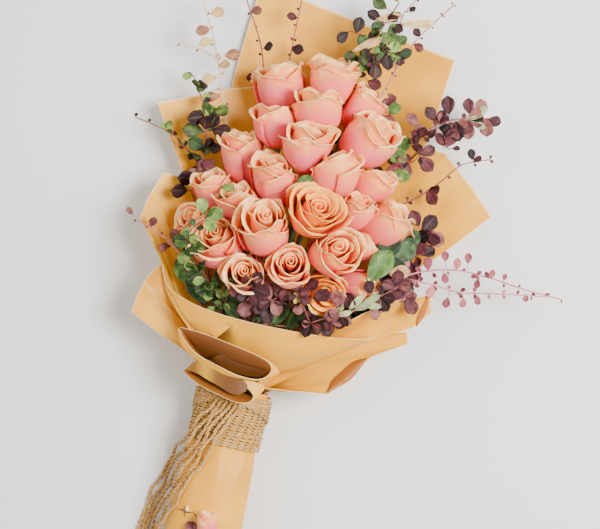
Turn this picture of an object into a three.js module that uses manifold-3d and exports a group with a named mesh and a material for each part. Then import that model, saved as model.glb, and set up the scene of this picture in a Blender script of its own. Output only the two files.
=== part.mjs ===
// A hand-tied rose bouquet in kraft paper, lying on its back.
//
// Millimetres, +Z up. The handle runs along Y and the flowers point to +Y. All places below are
// measured from the middle of the twine band, with Z from the table. At the end the whole group is
// moved so that its origin is the middle of the underside of the box round the bouquet.

import * as THREE from 'three';
import Module from 'manifold-3d';

const wasm = await Module();
wasm.setup();

// Driving dimensions

const ROSE_CLEARANCE = 0.35;
const FIT_GAP = 0.4;
const STEM_RADIUS = 2.5;
const TWIG_RADIUS = 1.3;
const LEAF_THICKNESS = 1.2;
const PAPER_THICKNESS = 0.8;

const NECK_HEIGHT = 33;
const NECK_SIDES = 16;
const STEM_BUNDLE = { x: 19.6, z: 10.8 };
const TIE_WALL = 3.2;
const TWIG_SLOT = { x: 25, z: 16.3 };
const PAPER_LAYER = { x: 34.6, z: 25.8 };
const PAPER_LAYER_STEP = 1.4;
const NECK_FROM_Y = -14;
const MOUTH_Y = 37;

const SLEEVE_WALL = 1.2;
const SLEEVE_SECTIONS = [
  { y: 35.5, x: 37.4, z: 28.4 },
  { y: -32, x: 37.4, z: 28.4 },
  { y: -60, x: 39.8, z: 31 },
  { y: -120, x: 42.4, z: 33.2 },
  { y: -200, x: 45, z: 33.6 },
];

const TWINE = 4;
const BAND_RIDGES = 8;
const BAND_FROM_Y = -30;
const BAND_TO_Y = 34;
const BAND_INNER = { x: 37.8, z: 28.8 };
const BAND_OUTER = { x: 42, z: 33.6 };

// Finishes

const finish = (color, roughness) => new THREE.MeshStandardMaterial({ color, roughness, metalness: 0 });
const rosePink = finish(0xf2a097, 0.6);
const stemGreen = finish(0x5d7340, 0.7);
const leafPurple = finish(0x6a444e, 0.65);
const leafGreen = finish(0x66804c, 0.65);
const kraftPaper = finish(0xd9b277, 0.7);
const juteTwine = finish(0xb79a6a, 0.9);

// Small helpers

const v3 = (x, y, z) => new THREE.Vector3(x, y, z);
const toPoints = (list) => list.map((place) => v3(...place));
const radians = THREE.MathUtils.degToRad;
const mix = THREE.MathUtils.lerp;

function seededRandom(seed) {
  let state = seed;
  return () => {
    state = (state * 1664525 + 1013904223) % 4294967296;
    return state / 4294967296;
  };
}

// Whichever way the faces were listed, the solid's faces point out.
function solidOf(points, faces) {
  let signedVolume = 0;
  for (let corner = 0; corner < faces.length; corner += 3) {
    const [a, b, c] = [points[faces[corner]], points[faces[corner + 1]], points[faces[corner + 2]]];
    signedVolume += a.dot(b.clone().cross(c));
  }
  const outward = signedVolume > 0 ? faces : [...faces].reverse();
  const vertProperties = new Float32Array(points.length * 3);
  points.forEach((point, index) => point.toArray(vertProperties, index * 3));
  const mesh = new wasm.Mesh({ numProp: 3, vertProperties, triVerts: new Uint32Array(outward) });
  return new wasm.Manifold(mesh);
}

function fuse(solids) {
  return wasm.Manifold.union(solids);
}

// A cut can leave loose scraps behind. Only the largest body is kept.
function largestBody(solid) {
  const bodies = solid.decompose();
  bodies.sort((a, b) => b.volume() - a.volume());
  return bodies[0];
}

function meshOf(name, solid, material) {
  const { vertProperties, triVerts } = solid.getMesh();
  const geometry = new THREE.BufferGeometry();
  geometry.setAttribute('position', new THREE.BufferAttribute(vertProperties, 3));
  geometry.setIndex(new THREE.BufferAttribute(triVerts, 1));
  const mesh = new THREE.Mesh(geometry, material);
  mesh.name = name;
  return mesh;
}

// Rings of points joined into one closed solid, with a fan over each end.
function loft(rings) {
  const sides = rings[0].length;
  const points = rings.flat();
  const faces = [];
  for (let ring = 0; ring < rings.length - 1; ring += 1) {
    for (let side = 0; side < sides; side += 1) {
      const next = (side + 1) % sides;
      const a = ring * sides + side;
      const b = ring * sides + next;
      faces.push(a, b, b + sides, a, b + sides, a + sides);
    }
  }
  const last = (rings.length - 1) * sides;
  for (let side = 1; side < sides - 1; side += 1) {
    faces.push(0, side + 1, side, last, last + side, last + side + 1);
  }
  return solidOf(points, faces);
}

// A stalk through given points, with a radius at each. The section is carried along unturned.
function stalk(points, radii, sides) {
  const normal = v3(0.3, 0.1, 1);
  const rings = points.map((centre, index) => {
    const tangent = points[Math.min(index + 1, points.length - 1)].clone()
      .sub(points[Math.max(index - 1, 0)]).normalize();
    normal.addScaledVector(tangent, -normal.dot(tangent)).normalize();
    const side = tangent.clone().cross(normal);
    const ring = [];
    for (let corner = 0; corner < sides; corner += 1) {
      const angle = (corner / sides) * 2 * Math.PI;
      ring.push(centre.clone()
        .addScaledVector(normal, radii[index] * Math.cos(angle))
        .addScaledVector(side, radii[index] * Math.sin(angle)));
    }
    return ring;
  });
  return loft(rings);
}

function smoothPath(points, steps) {
  const curve = new THREE.CatmullRomCurve3(points, false, 'centripetal');
  return curve.getSpacedPoints(steps);
}

// Unit normals of a grid of points. The first index runs round or across, the second along.
function gridNormals(grid, closed) {
  const columns = grid.length;
  return grid.map((column, i) => column.map((point, j) => {
    const before = closed ? grid[(i + columns - 1) % columns] : grid[Math.max(i - 1, 0)];
    const after = closed ? grid[(i + 1) % columns] : grid[Math.min(i + 1, columns - 1)];
    const across = after[j].clone().sub(before[j]);
    const along = column[Math.min(j + 1, column.length - 1)].clone().sub(column[Math.max(j - 1, 0)]);
    return across.cross(along).normalize();
  }));
}

// A sheet of even thickness over a grid of points. Both faces are split into the same triangles.
// Where the sheet lies flat on the table its underside is exactly level.
function sheetSolid(grid, thickness, closed = false) {
  const columns = grid.length;
  const rows = grid[0].length;
  const normals = gridNormals(grid, closed);
  const half = thickness / 2;
  const flatLimit = half + 0.05;
  const face = (sign) => grid.flatMap((column, i) => column.map((point, j) => {
    const normal = point.z < flatLimit ? v3(0, 0, Math.sign(normals[i][j].z) || 1) : normals[i][j];
    return point.clone().addScaledVector(normal, sign * half);
  }));
  const points = [...face(1), ...face(-1)];
  const under = columns * rows;
  const at = (i, j) => (i % columns) * rows + j;
  const faces = [];
  const spans = closed ? columns : columns - 1;
  for (let i = 0; i < spans; i += 1) {
    for (let j = 0; j < rows - 1; j += 1) {
      const [a, b, c, d] = [at(i, j), at(i + 1, j), at(i + 1, j + 1), at(i, j + 1)];
      faces.push(a, b, c, a, c, d);
      faces.push(a + under, c + under, b + under, a + under, d + under, c + under);
    }
    const [a, b] = [at(i, 0), at(i + 1, 0)];
    const [c, d] = [at(i, rows - 1), at(i + 1, rows - 1)];
    faces.push(a, a + under, b + under, a, b + under, b);
    faces.push(c, d, d + under, c, d + under, c + under);
  }
  if (!closed) {
    for (let j = 0; j < rows - 1; j += 1) {
      const [a, b] = [at(0, j), at(0, j + 1)];
      const [c, d] = [at(columns - 1, j), at(columns - 1, j + 1)];
      faces.push(a, b, b + under, a, b + under, a + under);
      faces.push(c, c + under, d + under, c, d + under, d);
    }
  }
  return solidOf(points, faces);
}

// Roses
//
// at: middle of the head. wide: its width. rise and heading: where it faces, in degrees, the rise
// from the table and the heading from +Y towards +X. open: the rose shows its heart.

const roses = [
  { at: [-22, 369, 52], wide: 48, rise: 12, heading: -22 },
  { at: [28, 384, 56], wide: 51, rise: 15, heading: -10 },
  { at: [19, 351, 82], wide: 45, rise: 20, heading: -12 },
  { at: [63, 370, 52], wide: 42, rise: 15, heading: 15 },
  { at: [-21, 328, 72], wide: 40, rise: 12, heading: -15 },
  { at: [81, 331, 74], wide: 53, rise: 28, heading: 22 },
  { at: [21, 309, 99], wide: 54, rise: 35, heading: -5 },
  { at: [-48, 285, 64], wide: 40, rise: 15, heading: -18, tall: 60 },
  { at: [-8, 268, 95], wide: 49, rise: 30, heading: -13 },
  { at: [50, 287, 104], wide: 50, rise: 18, heading: -5 },
  { at: [96, 284, 72], wide: 43, rise: 15, heading: 12 },
  { at: [-69, 242, 70], wide: 39, rise: 20, heading: -30 },
  { at: [-39, 230, 94], wide: 44, rise: 25, heading: -20 },
  { at: [42, 241, 128], wide: 62, rise: 55, heading: 20, open: true },
  { at: [-3, 212, 124], wide: 54, rise: 45, heading: -15 },
  { at: [-50, 192, 102], wide: 52, rise: 50, heading: -45, open: true },
  { at: [-78, 205, 70], wide: 36, rise: 40, heading: -60 },
  { at: [83, 254, 98], wide: 36, rise: 30, heading: 5 },
  { at: [113, 248, 74], wide: 52, rise: 15, heading: 35 },
  { at: [69, 204, 122], wide: 57, rise: 55, heading: 25, open: true },
  { at: [98, 219, 88], wide: 34, rise: 20, heading: 60 },
  { at: [29, 182, 134], wide: 42, rise: 72, heading: -10, open: true },
  { at: [-14, 160, 118], wide: 40, rise: 68, heading: -30 },
  { at: [8, 175, 89], wide: 36, rise: 60, heading: -10 },
  { at: [69, 164, 112], wide: 44, rise: 70, heading: 120, open: true },
  { at: [106, 178, 92], wide: 38, rise: 30, heading: 85 },
];
const BUD_TALL = 1.18;
const OPEN_TALL = 0.86;

// Before they are pressed together the heads are wider by this much, so that they fill the bunch.
const FULLNESS = 1.1;

function directionOf({ rise, heading }) {
  const level = Math.cos(radians(rise));
  return v3(level * Math.sin(radians(heading)), level * Math.cos(radians(heading)), Math.sin(radians(rise)));
}

for (const rose of roses) {
  rose.centre = v3(...rose.at);
  rose.axis = directionOf(rose);
  rose.tall = rose.tall ?? rose.wide * (rose.open ? OPEN_TALL : BUD_TALL);
  rose.wide *= FULLNESS;
  rose.foot = rose.centre.clone().addScaledVector(rose.axis, -rose.tall / 2);
}

// A head is one folded skin of petals. Each row is [radius, height, turn, petal]: the radius is a
// part of the half width, the height a part of the whole, the turn is in degrees, and petal says how
// strongly the row shows its petals. A groove row lies between two layers of petals.
const budRows = [
  [0.24, 0, 0, 0], [0.82, 0.22, 4, 0.4], [1, 0.5, 8, 1], [0.98, 0.9, 14, 1], [0.66, 0.74, 36, 0.3],
  [0.54, 1, 60, 1], [0.34, 0.86, 80, 0.4], [0.14, 0.98, 110, 0.3],
];
const openRows = [
  [0.26, 0, 0, 0], [0.86, 0.26, 4, 0.4], [0.98, 0.56, 8, 1], [1.1, 0.78, 14, 1],
  [0.88, 0.76, 20, 1], [0.78, 0.56, 40, 0.3],
  [0.8, 0.92, 60, 1], [0.62, 0.9, 70, 1], [0.52, 0.66, 90, 0.3],
  [0.48, 0.97, 110, 1], [0.32, 0.93, 124, 0.8], [0.2, 0.72, 150, 0.2], [0.07, 0.86, 180, 0],
];
const BUD_PETALS = 4;
const OPEN_PETALS = 5;
const PETAL_SAMPLES = [-1, 0, 1];
const PETAL_CORNER_DROP = 0.13;
const PETAL_TUCK = 0.08;
const PETAL_SEAM = 0.1;
const FIXED_FOOT = 7;
const LOOSE_FROM_FOOT = 18;

function roseHead(rose, index) {
  const { wide, tall, open } = rose;
  const draw = seededRandom(100 + index);
  const petals = open ? OPEN_PETALS : BUD_PETALS;
  const startTurn = draw() * 360;
  const sector = 360 / petals;
  const rings = (open ? openRows : budRows).map(([radius, height, turn, petal]) => {
    const ring = [];
    for (let count = 0; count < petals; count += 1) {
      const uneven = 0.05 * (draw() - 0.5) * petal;
      for (const across of PETAL_SAMPLES) {
        const angle = radians(startTurn + turn + sector * (count + (1 - PETAL_SEAM) * across / 2));
        const reach = (wide / 2) * (radius + PETAL_TUCK * across * petal * Math.sqrt(radius));
        const drop = height > 0.6 ? PETAL_CORNER_DROP * across * across * petal : 0;
        ring.push(v3(reach * Math.cos(angle), reach * Math.sin(angle), tall * (height + uneven - drop)));
      }
    }
    return ring;
  });
  const stand = new THREE.Matrix4().makeRotationFromQuaternion(
    new THREE.Quaternion().setFromUnitVectors(v3(0, 0, 1), rose.axis));
  stand.setPosition(rose.foot.clone().addScaledVector(rose.axis, FIT_GAP));
  return loft(rings).transform(stand.elements);
}

// How far a head reaches from its middle in one direction.
function reachOf(rose, direction) {
  const along = rose.axis.dot(direction);
  const half = 1.06 * Math.hypot((rose.tall / 2) * along, (rose.wide / 2) * Math.sqrt(1 - along * along));
  return half;
}

// Where two heads meet, each is pressed flat against one plane between them.
function planesRound(rose) {
  const planes = [];
  for (const other of roses) {
    if (other === rose) continue;
    const normal = other.centre.clone().sub(rose.centre);
    const distance = normal.length();
    normal.normalize();
    const own = reachOf(rose, normal);
    const theirs = reachOf(other, normal);
    if (own + theirs + 8 < distance) continue;
    const share = own - (own + theirs - distance) / 2;
    const offset = rose.centre.dot(normal) + share - ROSE_CLEARANCE / 2;
    planes.push({ normal, offset, excess: Math.max(own - share, 1), depth: 0.7 * share });
  }
  return planes;
}

// Points near a plane are squeezed together in front of it, so petals stay whole and lie closer.
// The foot of the head stays where it is, on its stem.
function press(solid, planes, foot) {
  const point = v3(0, 0, 0);
  let pressed = solid;
  for (let round = 0; round < 3; round += 1) {
    pressed = pressed.warp((place) => {
      point.fromArray(place);
      const looseness = THREE.MathUtils.smoothstep(point.distanceTo(foot), FIXED_FOOT, LOOSE_FROM_FOOT);
      for (const plane of planes) {
        const beyond = point.dot(plane.normal) - plane.offset;
        if (beyond <= -plane.depth) continue;
        const squeeze = round === 0 ? plane.depth / (plane.depth + plane.excess + 2) : 1;
        const settled = Math.min(-plane.depth + (beyond + plane.depth) * squeeze, -0.01);
        point.addScaledVector(plane.normal, looseness * (settled - beyond));
      }
      point.toArray(place);
    });
  }
  for (const plane of planes) {
    pressed = pressed.trimByPlane(plane.normal.clone().negate().toArray(), -plane.offset);
  }
  return largestBody(pressed);
}

const heads = roses.map((rose, index) => press(roseHead(rose, index), planesRound(rose), rose.foot));

// Stems
//
// Every stem rises from the bundle in the neck to a cup under its head. Below the neck the stems lie
// so close that they are one ribbed bundle, with cut ends of different lengths.

const CUP_TALL = 7;
const CUP_RADIUS = 6;
const BUNDLE_TOP_Y = 60;
const BUNDLE_END_Y = -178;
const BUNDLE_RIBS = 11;
const CUT_ENDS = 9;

function bundlePoint(share, angle, y) {
  return v3(STEM_BUNDLE.x * share * Math.cos(angle), y, NECK_HEIGHT + STEM_BUNDLE.z * share * Math.sin(angle));
}

// Every stem has a place of its own in the bundle, near the side that its head lies on.
function shareOutPlaces() {
  const places = roses.map((rose, index) => {
    const share = 0.86 * Math.sqrt((index + 0.5) / roses.length);
    return bundlePoint(share, index * 2.4, BUNDLE_TOP_Y - 14);
  });
  const wanted = (rose) => v3(rose.foot.x / 110, 0, (rose.foot.z - 75) / 60).clampLength(0, 1);
  const outermostFirst = [...roses].sort((a, b) => wanted(b).length() - wanted(a).length());
  for (const rose of outermostFirst) {
    const wish = wanted(rose);
    const target = bundlePoint(0.9 * wish.length(), Math.atan2(wish.z, wish.x), BUNDLE_TOP_Y - 14);
    places.sort((a, b) => a.distanceTo(target) - b.distanceTo(target));
    rose.bundlePlace = places.shift();
  }
}
shareOutPlaces();

function stemPath(rose) {
  const start = rose.bundlePlace;
  const cupFoot = rose.foot.clone().addScaledVector(rose.axis, -CUP_TALL);
  const approach = rose.foot.clone().addScaledVector(rose.axis, -CUP_TALL - 16);
  return [start, approach, cupFoot, rose.foot];
}

function stemSolid(rose, extra) {
  const radius = STEM_RADIUS + extra;
  return stalk(stemPath(rose), [radius, radius, radius * 1.1, CUP_RADIUS + extra], 4);
}

function stemBundle() {
  const ring = (y, size) => {
    const points = [];
    for (let corner = 0; corner < 2 * BUNDLE_RIBS; corner += 1) {
      const share = size * (corner % 2 ? 0.88 : 1);
      points.push(bundlePoint(share, (-corner / (2 * BUNDLE_RIBS)) * 2 * Math.PI, y));
    }
    return points;
  };
  return loft([ring(BUNDLE_END_Y, 0.97), ring(MOUTH_Y, 1), ring(BUNDLE_TOP_Y, 1.1)].reverse());
}

function cutEnds() {
  const draw = seededRandom(7);
  const ends = [];
  for (let count = 0; count < CUT_ENDS; count += 1) {
    const angle = (count / CUT_ENDS) * 2 * Math.PI;
    const share = count % 3 === 0 ? 0.3 : 0.72;
    const end = BUNDLE_END_Y - 4 - 12 * draw();
    ends.push(stalk([bundlePoint(share, angle, BUNDLE_END_Y + 8), bundlePoint(share, angle, end)],
      [STEM_RADIUS, STEM_RADIUS], 5));
  }
  return ends;
}

const roseStems = fuse([stemBundle(), ...cutEnds(), ...roses.map((rose) => stemSolid(rose, 0))]);

// A head that a passing stem would cross gives way to it.
function boxesMeet(one, other) {
  const a = one.boundingBox();
  const b = other.boundingBox();
  return [0, 1, 2].every((axis) => a.min[axis] < b.max[axis] && b.min[axis] < a.max[axis]);
}

function clearOf(solid, others) {
  const near = others.filter((other) => boxesMeet(solid, other));
  return largestBody(near.reduce((left, other) => left.subtract(other), solid));
}

const wideStems = roses.map((rose) => stemSolid(rose, FIT_GAP));
const clearHeads = heads.map((head, index) => clearOf(head, wideStems.filter((stem, own) => own !== index)));

// Rings round the neck: the inner tie that binds the stems, and the jute band outside the paper. A
// ring lies on the table with one of its sides, not with a corner.

function neckRing(y, size, sides) {
  const ring = [];
  for (let corner = 0; corner < sides; corner += 1) {
    const angle = ((corner + 0.5) / sides) * 2 * Math.PI;
    ring.push(v3(size.x * Math.cos(angle), y, NECK_HEIGHT + size.z * Math.sin(angle)));
  }
  return ring;
}

// A closed ring of any profile: each profile row is a level along Y and a size.
function collar(rows, sides) {
  const grid = rows.map(({ y, size }) => neckRing(y, size, sides));
  const points = grid.flat();
  const faces = [];
  for (let row = 0; row < grid.length; row += 1) {
    const nextRow = (row + 1) % grid.length;
    for (let side = 0; side < sides; side += 1) {
      const next = (side + 1) % sides;
      const [a, b] = [row * sides + side, row * sides + next];
      const [c, d] = [nextRow * sides + next, nextRow * sides + side];
      faces.push(a, b, c, a, c, d);
    }
  }
  return solidOf(points, faces);
}

const widen = (size, by) => ({ x: size.x + by, z: size.z + by });

function innerTie() {
  const inner = widen(STEM_BUNDLE, 1.5 * FIT_GAP);
  const outer = widen(inner, TIE_WALL);
  const waist = widen(outer, -1);
  return collar([
    { y: -9, size: inner }, { y: -9, size: outer }, { y: -3, size: waist }, { y: 3, size: outer },
    { y: 3, size: inner },
  ], NECK_SIDES);
}

function twineBand() {
  const rows = [{ y: BAND_FROM_Y, size: BAND_INNER }];
  const pitch = (BAND_TO_Y - BAND_FROM_Y) / BAND_RIDGES;
  for (let ridge = 0; ridge < BAND_RIDGES; ridge += 1) {
    const valley = widen(BAND_OUTER, ridge === 0 ? -2.2 : -1.6);
    rows.push({ y: BAND_FROM_Y + pitch * ridge, size: valley });
    rows.push({ y: BAND_FROM_Y + pitch * (ridge + 0.5), size: BAND_OUTER });
  }
  rows.push({ y: BAND_TO_Y, size: widen(BAND_OUTER, -2.2) });
  rows.push({ y: BAND_TO_Y, size: BAND_INNER });
  const knot = stalk(toPoints([[-21, 15, 61], [-12, 20, 66.5], [0, 23, 69], [9, 23, 67.5], [18, 20, 62]]),
    [2.4, 3.6, 4.2, 3.6, 2.4], 5);
  return fuse([collar(rows, NECK_SIDES), knot]);
}

// Paper
//
// Each sheet is gathered in the neck and fans out from there. A rib is one line of a sheet: its turn
// round the neck, in degrees from +X towards +Z, and the places that it passes, the last on the rim.
// Layer 0 lies against the sleeve, and each layer further in is one step smaller.

function neckPoint(layer, turn, y) {
  const angle = radians(turn);
  const shrink = layer * PAPER_LAYER_STEP;
  return v3((PAPER_LAYER.x - shrink) * Math.cos(angle), y,
    NECK_HEIGHT + (PAPER_LAYER.z - shrink) * Math.sin(angle));
}

function ribPoints(layer, rib, rows) {
  const through = toPoints(rib.through);
  if (rib.turn === undefined) return smoothPath(through, rows);
  const start = neckPoint(layer, rib.turn, NECK_FROM_Y);
  return [start, ...smoothPath([neckPoint(layer, rib.turn, MOUTH_Y), ...through], rows - 1)];
}

function paperSheet({ layer, ribs, columns, rows }, thickness = PAPER_THICKNESS) {
  const lines = ribs.map((rib) => ribPoints(layer, rib, rows));
  const grid = [];
  for (let column = 0; column <= columns; column += 1) grid.push([]);
  for (let row = 0; row <= rows; row += 1) {
    const across = new THREE.CatmullRomCurve3(lines.map((line) => line[row]), false, 'centripetal');
    across.getPoints(columns).forEach((point, column) => {
      point.z = Math.max(point.z, PAPER_THICKNESS / 2);
      grid[column].push(point);
    });
  }
  return sheetSolid(grid, thickness);
}

const sheets = {
  back_sheet_tall: {
    layer: 0, columns: 6, rows: 5, ribs: [
      { turn: 212, through: [[-40, 100, 3], [-75, 240, 2], [-82, 361, 5], [-75, 485, 8]] },
      { turn: 240, through: [[-18, 105, 0.8], [-38, 240, 0.4], [-34, 350, 0.4], [-20, 478, 2]] },
      { turn: 270, through: [[6, 100, 0.4], [18, 240, 0.4], [30, 350, 0.4], [37, 469, 0.4]] },
      { turn: 300, through: [[28, 105, 0.8], [68, 240, 0.4], [88, 345, 0.4], [98, 459, 3]] },
      { turn: 328, through: [[52, 112, 5], [112, 235, 2.5], [146, 345, 5], [157, 449, 14]] },
    ],
  },
  back_sheet_left: {
    layer: 1, columns: 5, rows: 5, ribs: [
      { turn: 190, through: [[-48, 95, 26], [-80, 200, 26], [-116, 262, 32], [-157, 325, 31]] },
      { turn: 210, through: [[-42, 98, 18], [-72, 215, 15], [-122, 342, 20]] },
      { turn: 231, through: [[-30, 100, 12.5], [-55, 220, 7], [-85, 360, 8.5]] },
      { turn: 252, through: [[-14, 100, 8], [-30, 220, 3.5], [-50, 372, 4]] },
    ],
  },
  back_sheet_right: {
    layer: 1, columns: 5, rows: 5, ribs: [
      { turn: 322, through: [[62, 95, 28], [140, 185, 44], [187, 229, 45], [235, 285, 31]] },
      { turn: 311, through: [[58, 108, 18], [126, 208, 26], [207, 312, 26]] },
      { turn: 300, through: [[44, 112, 10], [98, 213, 13], [170, 343, 20]] },
      { turn: 289, through: [[26, 110, 6], [68, 215, 5], [108, 285, 6], [146, 345, 12]] },
    ],
  },
  side_sheet_left: {
    layer: 2, columns: 6, rows: 5, ribs: [
      { turn: 168, through: [[-50, 72, 58], [-85, 112, 66], [-109, 152, 68], [-144, 195, 60]] },
      { turn: 182, through: [[-52, 90, 48], [-95, 155, 56], [-142, 216, 54]] },
      { turn: 197, through: [[-50, 105, 34], [-88, 175, 40], [-132, 250, 46]] },
      { turn: 211, through: [[-42, 108, 22], [-72, 180, 26], [-104, 250, 34]] },
    ],
  },
  outer_sheet_left: {
    layer: 0, columns: 6, rows: 5, ribs: [
      { turn: 160, through: [[-42, 50, 55], [-60, 62, 58], [-95, 76, 59], [-130, 92, 60]] },
      { turn: 175, through: [[-50, 62, 50], [-88, 95, 54], [-128, 112, 60]] },
      { turn: 190, through: [[-52, 75, 40], [-88, 112, 48], [-121, 136, 62]] },
      { turn: 205, through: [[-50, 85, 30], [-80, 122, 42], [-110, 151, 62]] },
    ],
  },
  front_sheet: {
    layer: 4, columns: 10, rows: 6, ribs: [
      { turn: 158, through: [[-52, 78, 78], [-80, 106, 86], [-97, 126, 84], [-108, 151, 78]] },
      { turn: 140, through: [[-44, 76, 76], [-73, 104, 90], [-96, 130, 89]] },
      { turn: 122, through: [[-34, 70, 74], [-56, 95, 91], [-73, 120, 98]] },
      { turn: 104, through: [[-20, 64, 70], [-29, 88, 92], [-37, 114, 106]] },
      { turn: 86, through: [[2, 60, 68], [5, 86, 90], [5, 112, 110]] },
      { turn: 70, through: [[24, 56, 62], [43, 70, 78], [50, 91, 97], [57, 114, 110]] },
      { turn: 60, through: [[34, 58, 61], [64, 75, 75], [76, 93, 95], [94, 117, 106]] },
      { turn: 50, through: [[44, 62, 61], [88, 90, 73], [99, 100, 89], [113, 120, 102]] },
      { turn: 40, through: [[50, 66, 61], [110, 106, 71], [118, 112, 84], [128, 122, 96]] },
      { turn: 31, through: [[54, 70, 60], [112, 112, 68], [133, 124, 73], [137, 129, 88]] },
    ],
  },
  right_roll: {
    layer: 5, columns: 8, rows: 6, ribs: [
      { turn: 48, through: [[46, 74, 51], [70, 98, 64], [78, 120, 88]] },
      { turn: 38, through: [[60, 82, 53], [88, 108, 72], [103, 137, 102]] },
      { turn: 28, through: [[74, 92, 55], [108, 128, 75], [133, 162, 95]] },
      { turn: 18, through: [[85, 95, 56], [125, 138, 69], [160, 175, 83]] },
      { turn: 10, through: [[86, 88, 55], [135, 138, 63], [185, 184, 72]] },
      { turn: 4, through: [[82, 82, 54], [130, 122, 60], [191, 166, 64]] },
      { turn: -2, through: [[78, 78, 53], [122, 114, 58], [174, 144, 62]] },
    ],
  },
  bottom_sheet_right: {
    layer: 1, columns: 8, rows: 5, ribs: [
      { turn: -3, through: [[38.6, 41, 48], [35, 43, 62], [32, 45, 70]] },
      { turn: -7, through: [[42, 43, 46], [58, 46, 59], [73, 49, 67]] },
      { turn: -11, through: [[48, 46, 40], [75, 50, 52], [101, 53, 62]] },
      { turn: -16, through: [[54, 54, 36], [90, 68, 46], [120, 78, 56]] },
      { turn: -21, through: [[60, 68, 34], [100, 88, 44], [139, 104, 53]] },
      { turn: -26, through: [[66, 80, 35], [118, 104, 44], [175, 126, 48]] },
      { turn: -30, through: [[66, 86, 36], [115, 110, 45], [171, 139, 50]] },
      { turn: -34, through: [[62, 84, 35], [95, 105, 45], [128, 124, 52]] },
    ],
  },
};

// A pouch is a sheet folded into a flat tube that stands open. Its outer wall turns out into a lip.
const pouches = {
  front_pouch: {
    layer: 2, from: 116, to: 64, columns: 6, rows: 4, swell: [0, 2, 0], wall: [
      [-74, 88, 92], [-64, 77, 92], [-49, 66, 92], [-26, 59, 93], [1, 53, 93], [26, 56, 92], [41, 65, 90],
    ], back: [[42, 68, 91], [21, 76, 98], [-10, 84, 103], [-44, 89, 101], [-71, 90, 94]],
  },
  lower_pouch: {
    layer: 0, from: 116, to: 64, columns: 6, rows: 4, swell: [0, 3, 1], wall: [
      [-60, 43, 76], [-42, 34, 82], [-19, 28, 86], [3, 25, 87], [16, 27, 86], [21, 33, 84],
    ], back: [[20, 37, 84], [8, 44, 85], [-14, 47, 86], [-36, 48, 82], [-57, 46, 77]],
  },
};

function pouchSolid({ layer, from, to, columns, rows, swell, wall, back }, thickness = PAPER_THICKNESS) {
  const column = (depth, turn, rim, bulge) => {
    const mouth = neckPoint(depth, turn, MOUTH_Y);
    const middle = mouth.clone().lerp(rim, 0.45).add(v3(...swell).multiplyScalar(bulge));
    return [neckPoint(depth, turn, 16), ...smoothPath([mouth, middle, rim], rows - 1)];
  };
  const outer = smoothPath(toPoints(wall), columns)
    .map((rim, index) => column(layer, mix(from, to, index / columns), rim, 1));
  const inner = smoothPath(toPoints(back), columns)
    .map((rim, index) => column(layer + 1, mix(to, from, index / columns), rim, -1));
  return sheetSolid([...outer, ...inner], thickness, true);
}

function handleSleeve() {
  const outside = SLEEVE_SECTIONS.map((section) => ({ y: section.y, size: section }));
  const inside = SLEEVE_SECTIONS.map((section) => ({ y: section.y, size: widen(section, -SLEEVE_WALL) }));
  return collar([...outside, ...inside.reverse()], NECK_SIDES);
}

// Foliage
//
// Each branch leaves the neck between the tie and the paper, at its own turn round the neck. through
// is its main twig; sides are side twigs that start on it. leaves are the middles of its leaves.

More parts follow.
